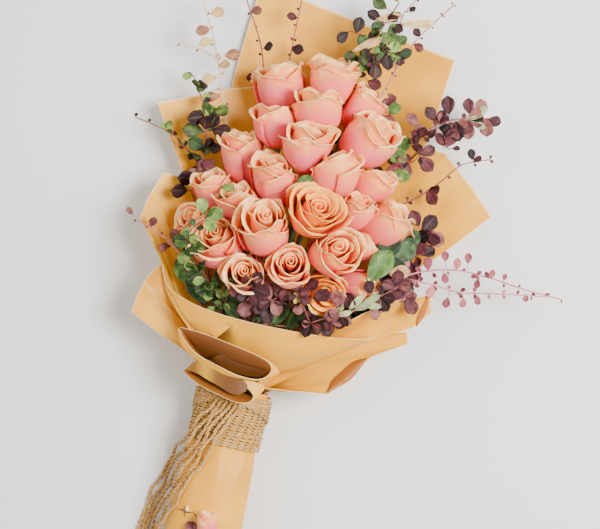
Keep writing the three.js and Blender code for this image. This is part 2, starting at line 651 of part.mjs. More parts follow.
const branches = {
  pale_tall_branch: {
    turn: 222, leaf: 17, seed: 21,
    through: [[-34, 110, 18], [-50, 220, 24], [-70, 305, 34], [-90, 354, 44], [-105, 395, 48], [-131, 446, 50]],
    sides: [[[-102, 385, 47], [-122, 393, 46], [-146, 394, 45]]],
    leaves: [[-113, 436, 50], [-124, 413, 50], [-118, 401, 47], [-86, 394, 50], [-93, 381, 51], [-105, 363, 45],
      [-98, 344, 44]],
  },
  left_dark_branch: {
    turn: 208, leaf: 21, seed: 22,
    through: [[-43, 108, 33], [-76, 200, 34], [-92, 262, 40], [-90, 300, 50], [-112, 342, 46], [-123, 362, 45]],
    sides: [[[-94, 262, 42], [-109, 279, 42], [-135, 295, 42], [-176, 303, 42]]],
    leaves: [[-80, 288, 62], [-104, 276, 52], [-104, 250, 50], [-106, 318, 54], [-84, 330, 56], [-113, 352, 52],
      [-78, 308, 57], [-110, 303, 54], [-138, 303, 44], [-122, 288, 46], [-82, 262, 38], [-108, 234, 60]],
  },
  top_twigs: {
    turn: 254, leaf: 15, seed: 23,
    through: [[-16, 110, 15], [-26, 240, 16], [-40, 340, 20], [-54, 398, 34], [-61, 423, 40], [-85, 458, 42]],
    sides: [[[-32, 290, 18], [-24, 340, 18], [-24, 396, 26], [-25, 439, 32], [-26, 478, 34]]],
    leaves: [[-60, 376, 34], [-50, 412, 44], [-72, 448, 44], [-18, 418, 34], [-31, 452, 35]],
  },
  top_right_branch: {
    turn: 290, leaf: 18, seed: 25,
    through: [[16, 110, 14], [28, 240, 14], [42, 340, 16], [50, 392, 25], [56, 418, 42],
      [60, 434, 54], [70, 462, 57], [80, 490, 56]],
    sides: [[[58, 426, 54], [76, 432, 58], [90, 438, 56]], [[62, 438, 55], [50, 446, 56], [34, 448, 55]]],
    leaves: [[28, 440, 56], [42, 456, 57], [66, 450, 62], [82, 446, 60], [56, 420, 60], [94, 430, 57],
      [82, 424, 58], [57, 470, 57], [72, 412, 56], [42, 420, 54], [84, 462, 60], [60, 484, 56]],
  },
  top_right_twig: {
    turn: 304, leaf: 13, seed: 26,
    through: [[30, 110, 15], [54, 240, 16], [74, 340, 22], [88, 400, 42], [100, 437, 50], [119, 474, 55], [139, 501, 58]],
    sides: [[[92, 415, 45], [90, 450, 49], [86, 473, 50], [98, 498, 52]]],
    leaves: [[108, 462, 55], [112, 448, 54], [82, 462, 52], [94, 488, 53]],
  },
  right_purple_branch: {
    turn: 320, leaf: 20, seed: 27,
    through: [[42, 108, 20], [82, 220, 22], [106, 300, 34], [122, 334, 46], [140, 354, 56], [165, 378, 60], [207, 389, 55]],
    sides: [[[118, 326, 42], [132, 322, 50], [140, 330, 54]], [[150, 366, 58], [158, 350, 58], [172, 346, 58]],
      [[92, 260, 27], [130, 272, 36], [169, 308, 48], [188, 332, 50], [217, 345, 50]]],
    leaves: [[142, 378, 62], [158, 392, 62], [174, 366, 62], [132, 352, 58], [168, 352, 60], [180, 396, 60],
      [194, 398, 56], [205, 380, 52], [124, 368, 55], [112, 346, 50], [130, 312, 52], [146, 326, 54], [184, 374, 58],
      [162, 292, 48], [196, 346, 51]],
  },
  right_dark_branch: {
    turn: 352, leaf: 22, seed: 29,
    through: [[66, 110, 40], [110, 180, 50], [132, 210, 58], [142, 232, 66], [160, 250, 68]],
    sides: [[[136, 218, 61], [150, 214, 68], [160, 222, 68]]],
    leaves: [[150, 262, 70], [166, 260, 68], [176, 246, 66], [138, 246, 62], [158, 236, 70], [172, 230, 66],
      [150, 222, 74], [160, 206, 70], [136, 204, 56]],
  },
  long_pink_sprig: {
    turn: 12, leaf: 15, seed: 30,
    through: [[62, 92, 44], [102, 140, 58], [132, 180, 76], [158, 201, 80], [190, 214, 75], [228, 218, 62],
      [280, 214, 50], [330, 212, 46]],
    sides: [[[150, 197, 80], [178, 196, 78], [214, 194, 68], [262, 203, 55], [312, 211, 48]]],
    leaves: [[217, 233, 64], [206, 224, 70], [233, 208, 62], [247, 222, 58], [196, 206, 76], [184, 188, 77],
      [174, 217, 79], [191, 229, 76], [166, 192, 84], [222, 184, 66], [204, 180, 71], [238, 190, 60],
      [262, 222, 54], [290, 205, 51], [150, 212, 82]],
  },
  front_purple_branch: {
    turn: 48, leaf: 19, seed: 31,
    through: [[29, 72, 54], [48, 102, 76], [60, 124, 106], [76, 134, 120], [98, 144, 117], [122, 164, 108],
      [146, 184, 102]],
    sides: [[[62, 126, 109], [54, 140, 122], [44, 152, 128]]],
    leaves: [[62, 118, 114], [78, 134, 118], [40, 164, 125], [56, 166, 126], [68, 158, 124], [86, 158, 120],
      [94, 138, 114], [104, 152, 114], [44, 146, 119], [134, 166, 107], [144, 194, 105], [116, 178, 110], [128, 152, 104]],
  },
  front_brown_branch: {
    turn: 84, leaf: 20, seed: 32,
    through: [[4, 70, 62], [2, 104, 84], [4, 128, 102], [0, 142, 114], [-6, 152, 124]],
    sides: [[[3, 132, 105], [13, 138, 112], [22, 144, 116]]],
    leaves: [[-20, 143, 132], [-2, 150, 135], [-12, 140, 121], [22, 158, 122], [10, 150, 117], [24, 134, 112],
      [-4, 126, 106], [16, 124, 108]],
  },
  front_green_branch: {
    turn: 116, leaf: 20, seed: 33,
    through: [[-17, 68, 58], [-28, 104, 80], [-40, 132, 94], [-58, 150, 100], [-78, 172, 106], [-84, 196, 120],
      [-70, 210, 130]],
    sides: [[[-34, 120, 89], [-30, 134, 100], [-34, 146, 105]]],
    leaves: [[-44, 116, 98], [-24, 122, 96], [-50, 144, 102], [-40, 154, 106], [-26, 142, 106], [-66, 160, 108],
      [-58, 136, 99], [-84, 164, 103], [-92, 180, 106], [-72, 178, 118], [-62, 216, 132], [-76, 222, 130],
      [-70, 146, 98]],
  },
  left_twig: {
    turn: 149, leaf: 14, seed: 34,
    through: [[-34, 78, 58], [-60, 120, 74], [-84, 160, 84], [-100, 174, 82], [-120, 184, 76], [-147, 193, 70]],
    sides: [], leaves: [[-156, 200, 70], [-128, 194, 77], [-110, 170, 84], [-102, 186, 86]],
  },
};
const branchMaterial = { front_green_branch: leafGreen, left_dark_branch: leafGreen, right_dark_branch: leafGreen };

const LEAF_OUTLINE = [[0.34, 0.44], [0.36, 0.82], [0, 1], [-0.36, 0.82], [-0.34, 0.44]];
const LEAF_WAIST = [0.07, 0.08];
const LEAF_CROWN = [0, 0.6];

// A leaf from its root on the twig to its tip. size is the length of its blade. What is longer than
// that is a narrow stalk. It is thickest in the middle and cupped a little, with its face up.
function leafSolid(root, tip, size, roll, thickness) {
  const along = tip.clone().sub(root);
  const stalkLength = Math.max(along.length() - size, 0);
  along.normalize();
  const side = along.clone().cross(v3(0, 0, 1)).normalize();
  const face = side.clone().cross(along).normalize();
  side.applyAxisAngle(along, roll);
  face.applyAxisAngle(along, roll);
  const blade = tip.clone().addScaledVector(along, -size);
  const place = ([across, ahead], lift) => blade.clone()
    .addScaledVector(side, across * size)
    .addScaledVector(along, ahead * size)
    .addScaledVector(face, lift);
  const outline = LEAF_OUTLINE.map((corner) => place(corner, Math.abs(corner[0]) * 0.12 * size));
  if (stalkLength > 0.25 * size) {
    outline.unshift(place(LEAF_WAIST, 0));
    outline.push(place([-LEAF_WAIST[0], LEAF_WAIST[1]], 0));
  }
  outline.push(root.clone());
  const cup = 0.05 * size;
  const count = outline.length;
  const points = [...outline, place(LEAF_CROWN, thickness / 2 - cup), place(LEAF_CROWN, -thickness / 2 - cup)];
  const faces = [];
  for (let corner = 0; corner < count; corner += 1) {
    const next = (corner + 1) % count;
    faces.push(corner, next, count, next, corner, count + 1);
  }
  return solidOf(points, faces);
}

// Places inside a rose head are lifted in front of it.
function liftedClear(point, margin) {
  const clear = point.clone();
  for (let round = 0; round < 3; round += 1) {
    for (const rose of roses) {
      const offset = clear.clone().sub(rose.centre);
      const along = offset.dot(rose.axis);
      const aside = Math.sqrt(Math.max(offset.lengthSq() - along * along, 0));
      const depth = Math.hypot(along / (rose.tall / 2 + margin), aside / (rose.wide / 2 + margin));
      if (depth < 1) clear.z += (1 - depth) * (rose.wide / 2 + margin);
    }
  }
  return clear;
}

function nearestOn(paths, point) {
  let best = paths[0][0];
  for (const path of paths) {
    for (let index = 0; index < path.length - 1; index += 1) {
      const spot = new THREE.Line3(path[index], path[index + 1]).closestPointToPoint(point, true, v3());
      if (spot.distanceTo(point) < best.distanceTo(point)) best = spot;
    }
  }
  return best;
}

// A twig runs a little past its last point, so that a leaf at its very end is rooted in it.
function twigSolid(path, from, to) {
  const last = path.at(-1);
  const beyond = last.clone().add(last.clone().sub(path.at(-2)).setLength(1.5));
  const points = [...path, beyond];
  const radii = points.map((point, index) => mix(from, to, index / (points.length - 1)));
  return stalk(points, radii, 3);
}

function branchSolid(branch) {
  const draw = seededRandom(branch.seed);
  const angle = radians(branch.turn);
  const slot = (y) => v3(TWIG_SLOT.x * Math.cos(angle), y, NECK_HEIGHT + TWIG_SLOT.z * Math.sin(angle));
  const main = smoothPath([slot(-10), slot(MOUTH_Y), ...toPoints(branch.through)], branch.through.length + 2)
    .map((point) => liftedClear(point, 2.5));
  const sides = branch.sides.map((side) => smoothPath(toPoints(side), side.length)
    .map((point) => liftedClear(point, 2)));
  sides.forEach((side) => side[0].copy(nearestOn([main], side[0])));
  const solids = [twigSolid(main, TWIG_RADIUS, 0.8), ...sides.map((side) => twigSolid(side, 0.9, 0.6))];
  for (const place of branch.leaves) {
    const middle = liftedClear(v3(...place), 4);
    const root = nearestOn([main, ...sides], middle);
    const ahead = middle.clone().sub(root);
    const reach = ahead.length();
    ahead.normalize();
    const size = branch.leaf * (0.85 + 0.3 * draw());
    const tip = root.clone().addScaledVector(ahead, Math.max(reach + size / 2, size));
    tip.z += size * 0.3 * (draw() - 0.3);
    solids.push(leafSolid(root, tip, size, radians(50 * (draw() - 0.5)), LEAF_THICKNESS));
  }
  return fuse(solids);
}

// The sprig on the handle: one small bud with its stem and dark leaves, lying on the sleeve.

const handleBud = {
  at: [5, -117, 76.5], wide: 22, rise: 4, heading: -14, tall: 33,
};
handleBud.centre = v3(...handleBud.at);
handleBud.axis = directionOf(handleBud);
handleBud.foot = handleBud.centre.clone().addScaledVector(handleBud.axis, -handleBud.tall / 2);

function handleSprig() {
  const { foot, axis } = handleBud;
  const back = (by, drop = 0) => foot.clone().addScaledVector(axis, -by).add(v3(0, 0, -drop));
  const stem = [back(46, 6.4), back(24, 5), back(8, 1.6), back(3), foot];
  const solids = [stalk(stem, [1.4, 1.5, 1.6, 2, 4.4], 5)];
  const leaves = [
    { from: 12, tip: [-18, -117, 68.4], roll: -10 }, { from: 15, tip: [-17, -133, 67.9], roll: -15 },
    { from: 14, tip: [28, -120, 69.9], roll: 20 }, { from: 24, tip: [-10, -150, 69.2], roll: -8 },
    { from: 26, tip: [26, -148, 68.8], roll: 10 },
  ];
  for (const leaf of leaves) {
    const root = nearestOn([stem], back(leaf.from, 2));
    solids.push(leafSolid(root, v3(...leaf.tip), 18, radians(leaf.roll), LEAF_THICKNESS));
  }
  return fuse(solids);
}

// Twine tails
//
// Six ends of the jute hang from the knot over the handle's left shoulder and trail on the table.

const TAILS = 6;
const TAIL_STEPS = 18;
const TAIL_SIDES = 8;
const TAIL_STATIONS = [
  { y: 12, from: -20, pitch: 5.4 }, { y: 0, from: -28, pitch: 5.6 }, { y: -22, from: -38.5, pitch: 6.4 },
  { y: -35, from: -45, pitch: 6.6 },
  { y: -50, from: -51, pitch: 6.8 }, { y: -70, from: -58, pitch: 6.6 }, { y: -97, from: -65, pitch: 6 },
  { y: -127, from: -71, pitch: 5.2 }, { y: -160, from: -76, pitch: 5 }, { y: -186, from: -79, pitch: 5 },
];
const TAIL_FALL = 2.2;
const TAIL_FLOOR = TWINE / 2 + 0.3;

function sleeveSizeAt(y) {
  if (y > BAND_FROM_Y - 8) return BAND_OUTER;
  const after = SLEEVE_SECTIONS.findIndex((section) => section.y < y);
  const [one, two] = [SLEEVE_SECTIONS[after - 1], SLEEVE_SECTIONS[after]];
  const share = (one.y - y) / (one.y - two.y);
  return { x: mix(one.x, two.x, share), z: mix(one.z, two.z, share) };
}

// The height of a strand that lies over the handle at x, or falls beside it to the table.
function strandHeight(x, y) {
  const over = widen(sleeveSizeAt(y), TWINE / 2 + 1.2);
  const fallen = NECK_HEIGHT - (Math.abs(x) - over.x) * TAIL_FALL;
  if (Math.abs(x) >= over.x) return Math.max(TAIL_FLOOR, fallen);
  return NECK_HEIGHT + over.z * Math.sqrt(1 - (x / over.x) ** 2);
}

function tailPath(index) {
  const length = 1 - 0.05 * ((index * 3) % 4);
  const stations = TAIL_STATIONS.filter((station) => station.y > -200 * length);
  return stations.map(({ y, from, pitch }) => {
    const x = from + pitch * index;
    return v3(x, y, strandHeight(x, y));
  });
}

function tailSolid(index) {
  const path = smoothPath(tailPath(index), TAIL_STEPS);
  path.forEach((point) => {
    point.z = Math.max(point.z, TAIL_FLOOR);
  });
  const curve = new THREE.CatmullRomCurve3(path, false, 'centripetal');
  const section = new THREE.Shape();
  for (let side = 0; side < TAIL_SIDES; side += 1) {
    const angle = (side / TAIL_SIDES) * 2 * Math.PI;
    const corner = [(TWINE / 2) * Math.cos(angle), (TWINE / 2) * Math.sin(angle)];
    if (side === 0) section.moveTo(...corner);
    else section.lineTo(...corner);
  }
  return new THREE.ExtrudeGeometry(section, { steps: TAIL_STEPS, extrudePath: curve, bevelEnabled: false });
}

// Assembly

const bouquet = new THREE.Group();
const addSolid = (name, solid, material) => bouquet.add(meshOf(name, solid, material));

const wideHeads = roses.map((rose, index) => {
  const grow = new THREE.Matrix4().makeTranslation(rose.centre)
    .multiply(new THREE.Matrix4().makeScale(1.03, 1.03, 1.03))
    .multiply(new THREE.Matrix4().makeTranslation(rose.centre.clone().negate()));
  return clearHeads[index].transform(grow.elements);
});
const widePaper = [
  ...Object.values(sheets).map((sheet) => paperSheet(sheet, PAPER_THICKNESS + 2 * FIT_GAP)),
  ...Object.values(pouches).map((pouch) => pouchSolid(pouch, PAPER_THICKNESS + 2 * FIT_GAP)),
];

clearHeads.forEach((head, index) => addSolid(`rose_${String(index + 1).padStart(2, '0')}`, head, rosePink));
addSolid('rose_stems', roseStems, stemGreen);
addSolid('inner_tie', innerTie(), juteTwine);
for (const [name, branch] of Object.entries(branches)) {
  const solid = clearOf(branchSolid(branch), [...wideHeads, ...wideStems, ...widePaper]);
  addSolid(name, solid, branchMaterial[name] ?? leafPurple);
}
for (const [name, sheet] of Object.entries(sheets)) addSolid(name, paperSheet(sheet), kraftPaper);
for (const [name, pouch] of Object.entries(pouches)) addSolid(name, pouchSolid(pouch), kraftPaper);
addSolid('handle_sleeve', handleSleeve(), kraftPaper);
addSolid('twine_band', twineBand(), juteTwine);
addSolid('handle_bud', roseHead(handleBud, 40), rosePink);
addSolid('handle_sprig', handleSprig(), leafPurple);

const box = new THREE.Box3().setFromObject(bouquet);
const middle = box.getCenter(v3());
bouquet.position.set(-middle.x, -middle.y, -box.min.z);

for (let index = 0; index < TAILS; index += 1) {
  const tail = new THREE.Mesh(tailSolid(index), juteTwine);
  tail.name = `twine_tail_${index + 1}`;
  bouquet.add(tail);
}

export default bouquet;
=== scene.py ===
# %% [markdown]
# # A rose bouquet in kraft paper
# A florist ties long roses and leafy twigs into a bunch, folds kraft paper round it and binds the
# neck with jute. The CAD model has every piece at its place with few faces. Here each of them is
# modelled again with the petals, leaves, folds and strands that the eye expects.

# %% Load the CAD frame
import math

import bpy
import numpy as np
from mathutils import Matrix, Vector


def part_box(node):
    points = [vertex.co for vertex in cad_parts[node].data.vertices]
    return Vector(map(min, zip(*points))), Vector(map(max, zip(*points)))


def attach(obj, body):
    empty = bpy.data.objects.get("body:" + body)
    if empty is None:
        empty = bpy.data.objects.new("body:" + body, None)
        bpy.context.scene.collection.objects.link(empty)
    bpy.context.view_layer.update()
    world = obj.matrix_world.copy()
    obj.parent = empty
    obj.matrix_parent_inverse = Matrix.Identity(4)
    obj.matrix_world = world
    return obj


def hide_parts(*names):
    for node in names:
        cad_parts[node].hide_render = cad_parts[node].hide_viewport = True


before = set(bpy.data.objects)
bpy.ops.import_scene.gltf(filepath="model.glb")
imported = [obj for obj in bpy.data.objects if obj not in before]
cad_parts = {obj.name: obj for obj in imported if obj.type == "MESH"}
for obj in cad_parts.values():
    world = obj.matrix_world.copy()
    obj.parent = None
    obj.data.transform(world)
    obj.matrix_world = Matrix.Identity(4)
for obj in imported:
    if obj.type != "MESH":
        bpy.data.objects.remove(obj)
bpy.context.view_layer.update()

bpy.ops.object.select_all(action="DESELECT")

# %% [markdown]
# The pieces are laid out in millimetres from the middle of the tie, with heights from the table, as
# a florist would measure a bunch. The jute band's box tells where that point is in the frame.

# %% Where the tie is
MM = 0.001
BAND_MIDDLE_FROM_TIE = 2.0
band_low, band_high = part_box("twine_band")
TIE = np.array([
    (band_low.x + band_high.x) / 2,
    (band_low.y + band_high.y) / 2 - BAND_MIDDLE_FROM_TIE * MM,
    0.0,
])


def in_frame(points):
    return np.asarray(points, float) * MM + TIE


print("tie at", TIE.round(4))

# %% [markdown]
# The photograph looks straight down on the bunch, turned a little so that the handle leans to the
# left. A long lens from about two metres keeps the near roses from looking too large.

# %% Camera
CAMERA_HEIGHT = 1900
CAMERA_OVER = (38.7, 184.8)
CAMERA_TURN = 13.0
FOCAL_LENGTH = 100.4

place = in_frame([*CAMERA_OVER, CAMERA_HEIGHT])
bpy.ops.object.camera_add(location=place, rotation=(0, 0, math.radians(CAMERA_TURN)))
camera = bpy.context.object
camera.data.lens = FOCAL_LENGTH
camera.data.sensor_width = 36
camera.data.clip_end = 10
bpy.context.scene.camera = camera
print("camera at", place.round(3))

# %% [markdown]
# Every line on the bunch, from a stem to the rib of a sheet, is a smooth curve through a few chosen
# places. The curve is the centripetal one, which keeps even turns where its points lie close.

# %% Smooth lines
SAMPLES_PER_SPAN = 24
TURN = 2 * math.pi


def unit(vectors):
    vectors = np.asarray(vectors, float)
    return vectors / np.maximum(np.linalg.norm(vectors, axis=-1, keepdims=True), 1e-9)


def run_along(points):
    """How far each point of a line is from its start, along the line."""
    return np.concatenate([[0], np.cumsum(np.linalg.norm(np.diff(points, axis=0), axis=1))])


def read_at(wanted, known, rows):
    """Rows read between the known places, one for each wanted place."""
    return np.column_stack([np.interp(wanted, known, column) for column in rows.T])


def dense_curve(points):
    points = np.asarray(points, float)
    ends = np.vstack([2 * points[0] - points[1], points, 2 * points[-1] - points[-2]])
    dense = []
    for a, b, c, d in zip(ends[:-3], ends[1:-2], ends[2:-1], ends[3:]):
        gaps = [max(np.linalg.norm(q - p), 1e-6) ** 0.5 for p, q in ((a, b), (b, c), (c, d))]
        knots = np.cumsum([0.0, *gaps])
        t = np.linspace(knots[1], knots[2], SAMPLES_PER_SPAN, endpoint=False)[:, None]

        def blend(p, q, low, high):
            span = knots[high] - knots[low]
            return (knots[high] - t) / span * p + (t - knots[low]) / span * q

        ab, bc, cd = blend(a, b, 0, 1), blend(b, c, 1, 2), blend(c, d, 2, 3)
        dense.append(blend(blend(ab, bc, 0, 2), blend(bc, cd, 1, 3), 1, 2))
    return np.vstack([*dense, points[-1:]])


def spaced(points, steps):
    """The same line with evenly spaced points, one more than the steps."""
    points = np.asarray(points, float)
    run = run_along(points)
    return read_at(np.linspace(0, run[-1], steps + 1), run, points)


def smooth_path(points, steps):
    return spaced(dense_curve(points), steps)


def length_of(path):
    return float(run_along(path)[-1])


print("a quarter turn:", smooth_path([[1, 0, 0], [0.7, 0.7, 0], [0, 1, 0]], 4).round(2).tolist())

# %% [markdown]
# Colours are written as the hex values that a screen shows. Blender mixes light, so each of them is
# turned to its linear value once, here.

# %% Colours


def linear(code):
    values = [int(code[i:i + 2], 16) / 255 for i in (1, 3, 5)]
    return tuple(v / 12.92 if v <= 0.04045 else ((v + 0.055) / 1.055) ** 2.4 for v in values) + (1.0,)


print("kraft paper, linear:", [round(v, 3) for v in linear("#D9B277")])

# %% [markdown]
# A finish is a graph of nodes that ends in one shader. One function adds a node with its settings and
# links, and the others are named for what the finishes need: sums, stored numbers, ramps and mixes.

# %% Shader nodes


def new_material(name, roughness, **sockets):
    material = bpy.data.materials.new(name)
    material.use_nodes = True
    shader = material.node_tree.nodes["Principled BSDF"]
    shader.inputs["Roughness"].default_value = roughness
    for socket, value in sockets.items():
        shader.inputs[socket.replace("_", " ")].default_value = value
    return material, shader


def add(material, kind, links=None, **settings):
    """A new node. A socket among the links is wired up, and any other value is set."""
    node = material.node_tree.nodes.new(kind)
    for name, value in settings.items():
        setattr(node, name, value)
    for socket, value in (links or {}).items():
        if isinstance(value, bpy.types.NodeSocket):
            material.node_tree.links.new(value, node.inputs[socket])
        else:
            node.inputs[socket].default_value = value
    return node


def worked_out(material, operation, *values):
    return add(material, "ShaderNodeMath", dict(enumerate(values)), operation=operation).outputs[0]


def attribute(material, name):
    return add(material, "ShaderNodeAttribute", attribute_name=name).outputs["Fac"]


def ramp(material, factor, stops):
    node = add(material, "ShaderNodeValToRGB", {0: factor})
    elements = node.color_ramp.elements
    while len(elements) < len(stops):
        elements.new(0.5)
    for element, (position, code) in zip(elements, stops):
        element.position = position
        element.color = linear(code)
    return node.outputs[0]


def blend_colors(material, factor, one, other, blend_type="MIX"):
    inputs = {0: factor, 6: one, 7: other}
    return add(material, "ShaderNodeMix", inputs, data_type="RGBA", blend_type=blend_type).outputs[2]


print(len(bpy.data.materials), "materials before the first finish")

# %% [markdown]
# Nothing on a bunch has one even colour. Soft noise varies each colour in patches of a real size, and
# the same noise, made fine, is the grain that a bump shows.

# %% Patterns and plain finishes


def finish_with(material, shader, color, height=None, depth_mm=0.1):
    material.node_tree.links.new(color, shader.inputs["Base Color"])
    if height is not None:
        bump = add(material, "ShaderNodeBump", {"Height": height, "Distance": depth_mm * MM, "Strength": 1.0})
        material.node_tree.links.new(bump.outputs[0], shader.inputs["Normal"])
    return material


def pattern(material, size_mm, stretch=(1, 1, 1), detail=2.0, source="Object"):
    """Soft noise from 0 to 1. Its patches have a size in millimetres or, on the UV map, a count."""
    where = add(material, "ShaderNodeTexCoord").outputs[source]
    scale = [1 / (size_mm * MM * s) if source == "Object" else s for s in stretch]
    mapping = add(material, "ShaderNodeMapping", {"Vector": where, "Scale": scale})
    inputs = {"Vector": mapping.outputs[0], "Scale": 1.0, "Detail": detail}
    return add(material, "ShaderNodeTexNoise", inputs).outputs["Fac"]


def plain_finish(name, roughness, size_mm, dark, light, stretch=(1, 1, 1), detail=2.0, grain_mm=None):
    """A finish between two colours, with a fine grain if its size is given."""
    material, shader = new_material(name, roughness)
    color = ramp(material, pattern(material, size_mm, stretch, detail), [(0.3, dark), (0.7, light)])
    return finish_with(material, shader, color, pattern(material, grain_mm) if grain_mm else None)


print("patches of 10 mm are scaled by", 1 / (10 * MM))

# %% [markdown]
# ## Jute twine
# Jute is a plant fibre, spun into two plies that are twisted round each other. It is matte, and its
# colour changes along the strand from straw to brown. The plies are modelled, so the twist catches
# the light by itself, and the shader adds the fibres.

# %% Jute finish
JUTE_FIBRE_MM = 1.1
JUTE_PATCH_MM = 14

jute, shader = new_material("spun_jute", 0.9)
fibres = pattern(jute, JUTE_FIBRE_MM, detail=3.0)
patches = pattern(jute, JUTE_PATCH_MM)
color = ramp(jute, fibres, [(0.3, "#76562A"), (0.5, "#BA9356"), (0.72, "#EACB92")])
color = blend_colors(jute, patches, color, linear("#B59560"), "SOFT_LIGHT")
finish_with(jute, shader, color, fibres, 0.35)
print(jute.name, "has", len(jute.node_tree.nodes), "nodes")

# %% [markdown]
# Twine, stems and twigs are all round rods along a line. A curve with a bevel draws such a rod in one
# step, and it is turned into a mesh so that it can be joined to others.

# %% Round rods
SEAM = 0.00001


def choose(pieces):
    bpy.ops.object.select_all(action="DESELECT")
    for piece in pieces:
        piece.select_set(True)
    bpy.context.view_layer.objects.active = pieces[0]


def close_seams(piece):
    choose([piece])
    bpy.ops.object.mode_set(mode="EDIT")
    bpy.ops.mesh.select_all(action="SELECT")
    bpy.ops.mesh.remove_doubles(threshold=SEAM)
    bpy.ops.mesh.normals_make_consistent(inside=False)
    bpy.ops.object.mode_set(mode="OBJECT")


def rod(points, radius):
    """A line of x, y, z and radius in millimetres. The radius may change along it."""
    return np.column_stack([points, np.broadcast_to(radius, len(points))])


def rods(name, lines, material, resolution=1):
    curve = bpy.data.curves.new(name, "CURVE")
    curve.dimensions = "3D"
    curve.bevel_depth = 1.0
    curve.bevel_resolution = resolution
    curve.use_fill_caps = True
    for line in lines:
        spline = curve.splines.new("POLY")
        spline.points.add(len(line) - 1)
        places = np.column_stack([in_frame(line[:, :3]), np.ones(len(line))])
        spline.points.foreach_set("co", places.ravel())
        spline.points.foreach_set("radius", line[:, 3] * MM)
    piece = bpy.data.objects.new(name, curve)
    bpy.context.collection.objects.link(piece)
    choose([piece])
    bpy.ops.object.convert(target="MESH")
    piece = bpy.context.object
    close_seams(piece)
    bpy.ops.object.shade_smooth()
    piece.data.materials.append(material)
    return piece


print("one point of a rod:", rod([[0, 0, 0]], 1.5).tolist())

# %% [markdown]
# A strand of twine is two thinner rods, its plies, wound round the strand's own line.

# %% Plies of a strand
PLIES = 2
PLY_SHARE = 0.5
NEARLY_UP = (0.3, 0.1, 1.0)


def frames_along(path):
    """Two directions across the line at each point, which don't twist along it."""
    ahead = unit(np.gradient(path, axis=0))
    side = np.zeros_like(ahead)
    start = np.cross(ahead[0], NEARLY_UP)
    for index, direction in enumerate(ahead):
        start = start - direction * start.dot(direction)
        start = start / max(np.linalg.norm(start), 1e-9)
        side[index] = start
    return side, np.cross(ahead, side)


def plies_round(path, thick, pitch):
    side, up = frames_along(path)
    ply_radius = thick / 2 * PLY_SHARE
    lines = []
    for ply in range(PLIES):
        turn = (run_along(path) / pitch + ply / PLIES) * TURN
        offset = (thick / 2 - ply_radius) * (np.cos(turn)[:, None] * side + np.sin(turn)[:, None] * up)
        lines.append(rod(path + offset, ply_radius))
    return lines


print("a strand has", PLIES, "plies, each", PLY_SHARE, "of its thickness")

# %% [markdown]
# Every new piece belongs to the one body of the bunch and hides the CAD nodes that it replaces.

# %% What a piece stands for


def stands_for(piece, slot, *nodes):
    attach(piece, "root")
    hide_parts(*nodes)
    return piece


print(len(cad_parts), "nodes to stand for")

# %% [markdown]
# The neck, the band and the handle share a few sizes, which are those of the CAD model.

# %% Neck and handle sizes
NECK_HEIGHT = 33
MOUTH_Y = 37
NECK_FROM_Y = -14
BAND_FROM_Y, BAND_TO_Y = -30, 34
BAND_OUTER = (42, 33.6)
# y, half the width and half the height of the handle.
SLEEVE_SECTIONS = [(35.5, 37.4, 28.4), (-32, 37.4, 28.4), (-60, 39.8, 31), (-120, 42.4, 33.2),
                   (-200, 45, 33.6)]


def sleeve_size(y):
    rows = np.array(SLEEVE_SECTIONS[::-1])
    return np.interp(y, rows[:, 0], rows[:, 1]), np.interp(y, rows[:, 0], rows[:, 2])


print("handle at its end:", sleeve_size(-200))

# %% [markdown]
# Six ends of the twine hang from the knot, slide over the handle's shoulder and trail on the table.
# Their route is the CAD route. A table gives where the ends cross a few lines across the handle, and
# the height follows from what lies under them.

# %% Tail routes
TWINE = 4
TAILS = 6
TAIL_STEPS = 18
# y, the first end's x, and the step in x from each end to the next.
TAIL_STATIONS = [
    (12, -20, 5.4), (0, -28, 5.6), (-22, -38.5, 6.4), (-35, -45, 6.6), (-50, -51, 6.8), (-70, -58, 6.6),
    (-97, -65, 6), (-127, -71, 5.2), (-160, -76, 5), (-186, -79, 5),
]
TAIL_REACH = 200
TAIL_SHORTER = 0.05
TAIL_FALL = 2.2
TAIL_FLOOR = TWINE / 2 + 0.3
TAIL_GAP = 1.2
BAND_EDGE = 8


def strand_height(x, y):
    across, high = BAND_OUTER if y > BAND_FROM_Y - BAND_EDGE else sleeve_size(y)
    across, high = across + TWINE / 2 + TAIL_GAP, high + TWINE / 2 + TAIL_GAP
    if abs(x) >= across:
        return max(TAIL_FLOOR, NECK_HEIGHT - (abs(x) - across) * TAIL_FALL)
    return NECK_HEIGHT + high * math.sqrt(1 - (x / across) ** 2)


def off_floor(path):
    path[:, 2] = np.maximum(path[:, 2], TAIL_FLOOR)
    return path


def tail_route(index):
    reach = TAIL_REACH * (1 - TAIL_SHORTER * ((index * 3) % 4))
    route = []
    for y, start, step in TAIL_STATIONS:
        if y > -reach:
            x = start + step * index
            route.append([x, y, strand_height(x, y)])
    return off_floor(smooth_path(route, TAIL_STEPS))


print("routes from", round(length_of(tail_route(5))), "to", round(length_of(tail_route(0))), "mm long")

# %% [markdown]
# Jute keeps the kinks of its ball. Each end wanders a little to both sides, in waves that are long
# and short by turns, and short stray fibres stand off its plies.

# %% Kinks and stray fibres
STRAND_STEP = 1.3
TWINE_TWIST = 14
TWINE_LOOSE = 1.12
FIBRE_RADIUS = 0.14
FIBRE_POINTS = 5
# The shortest and longest wave, and how far it goes to each side.
KINKS = [(55, 80, 1.5), (24, 36, 0.7), (12, 17, 0.22)]
KINKS_EASE_MM = 15


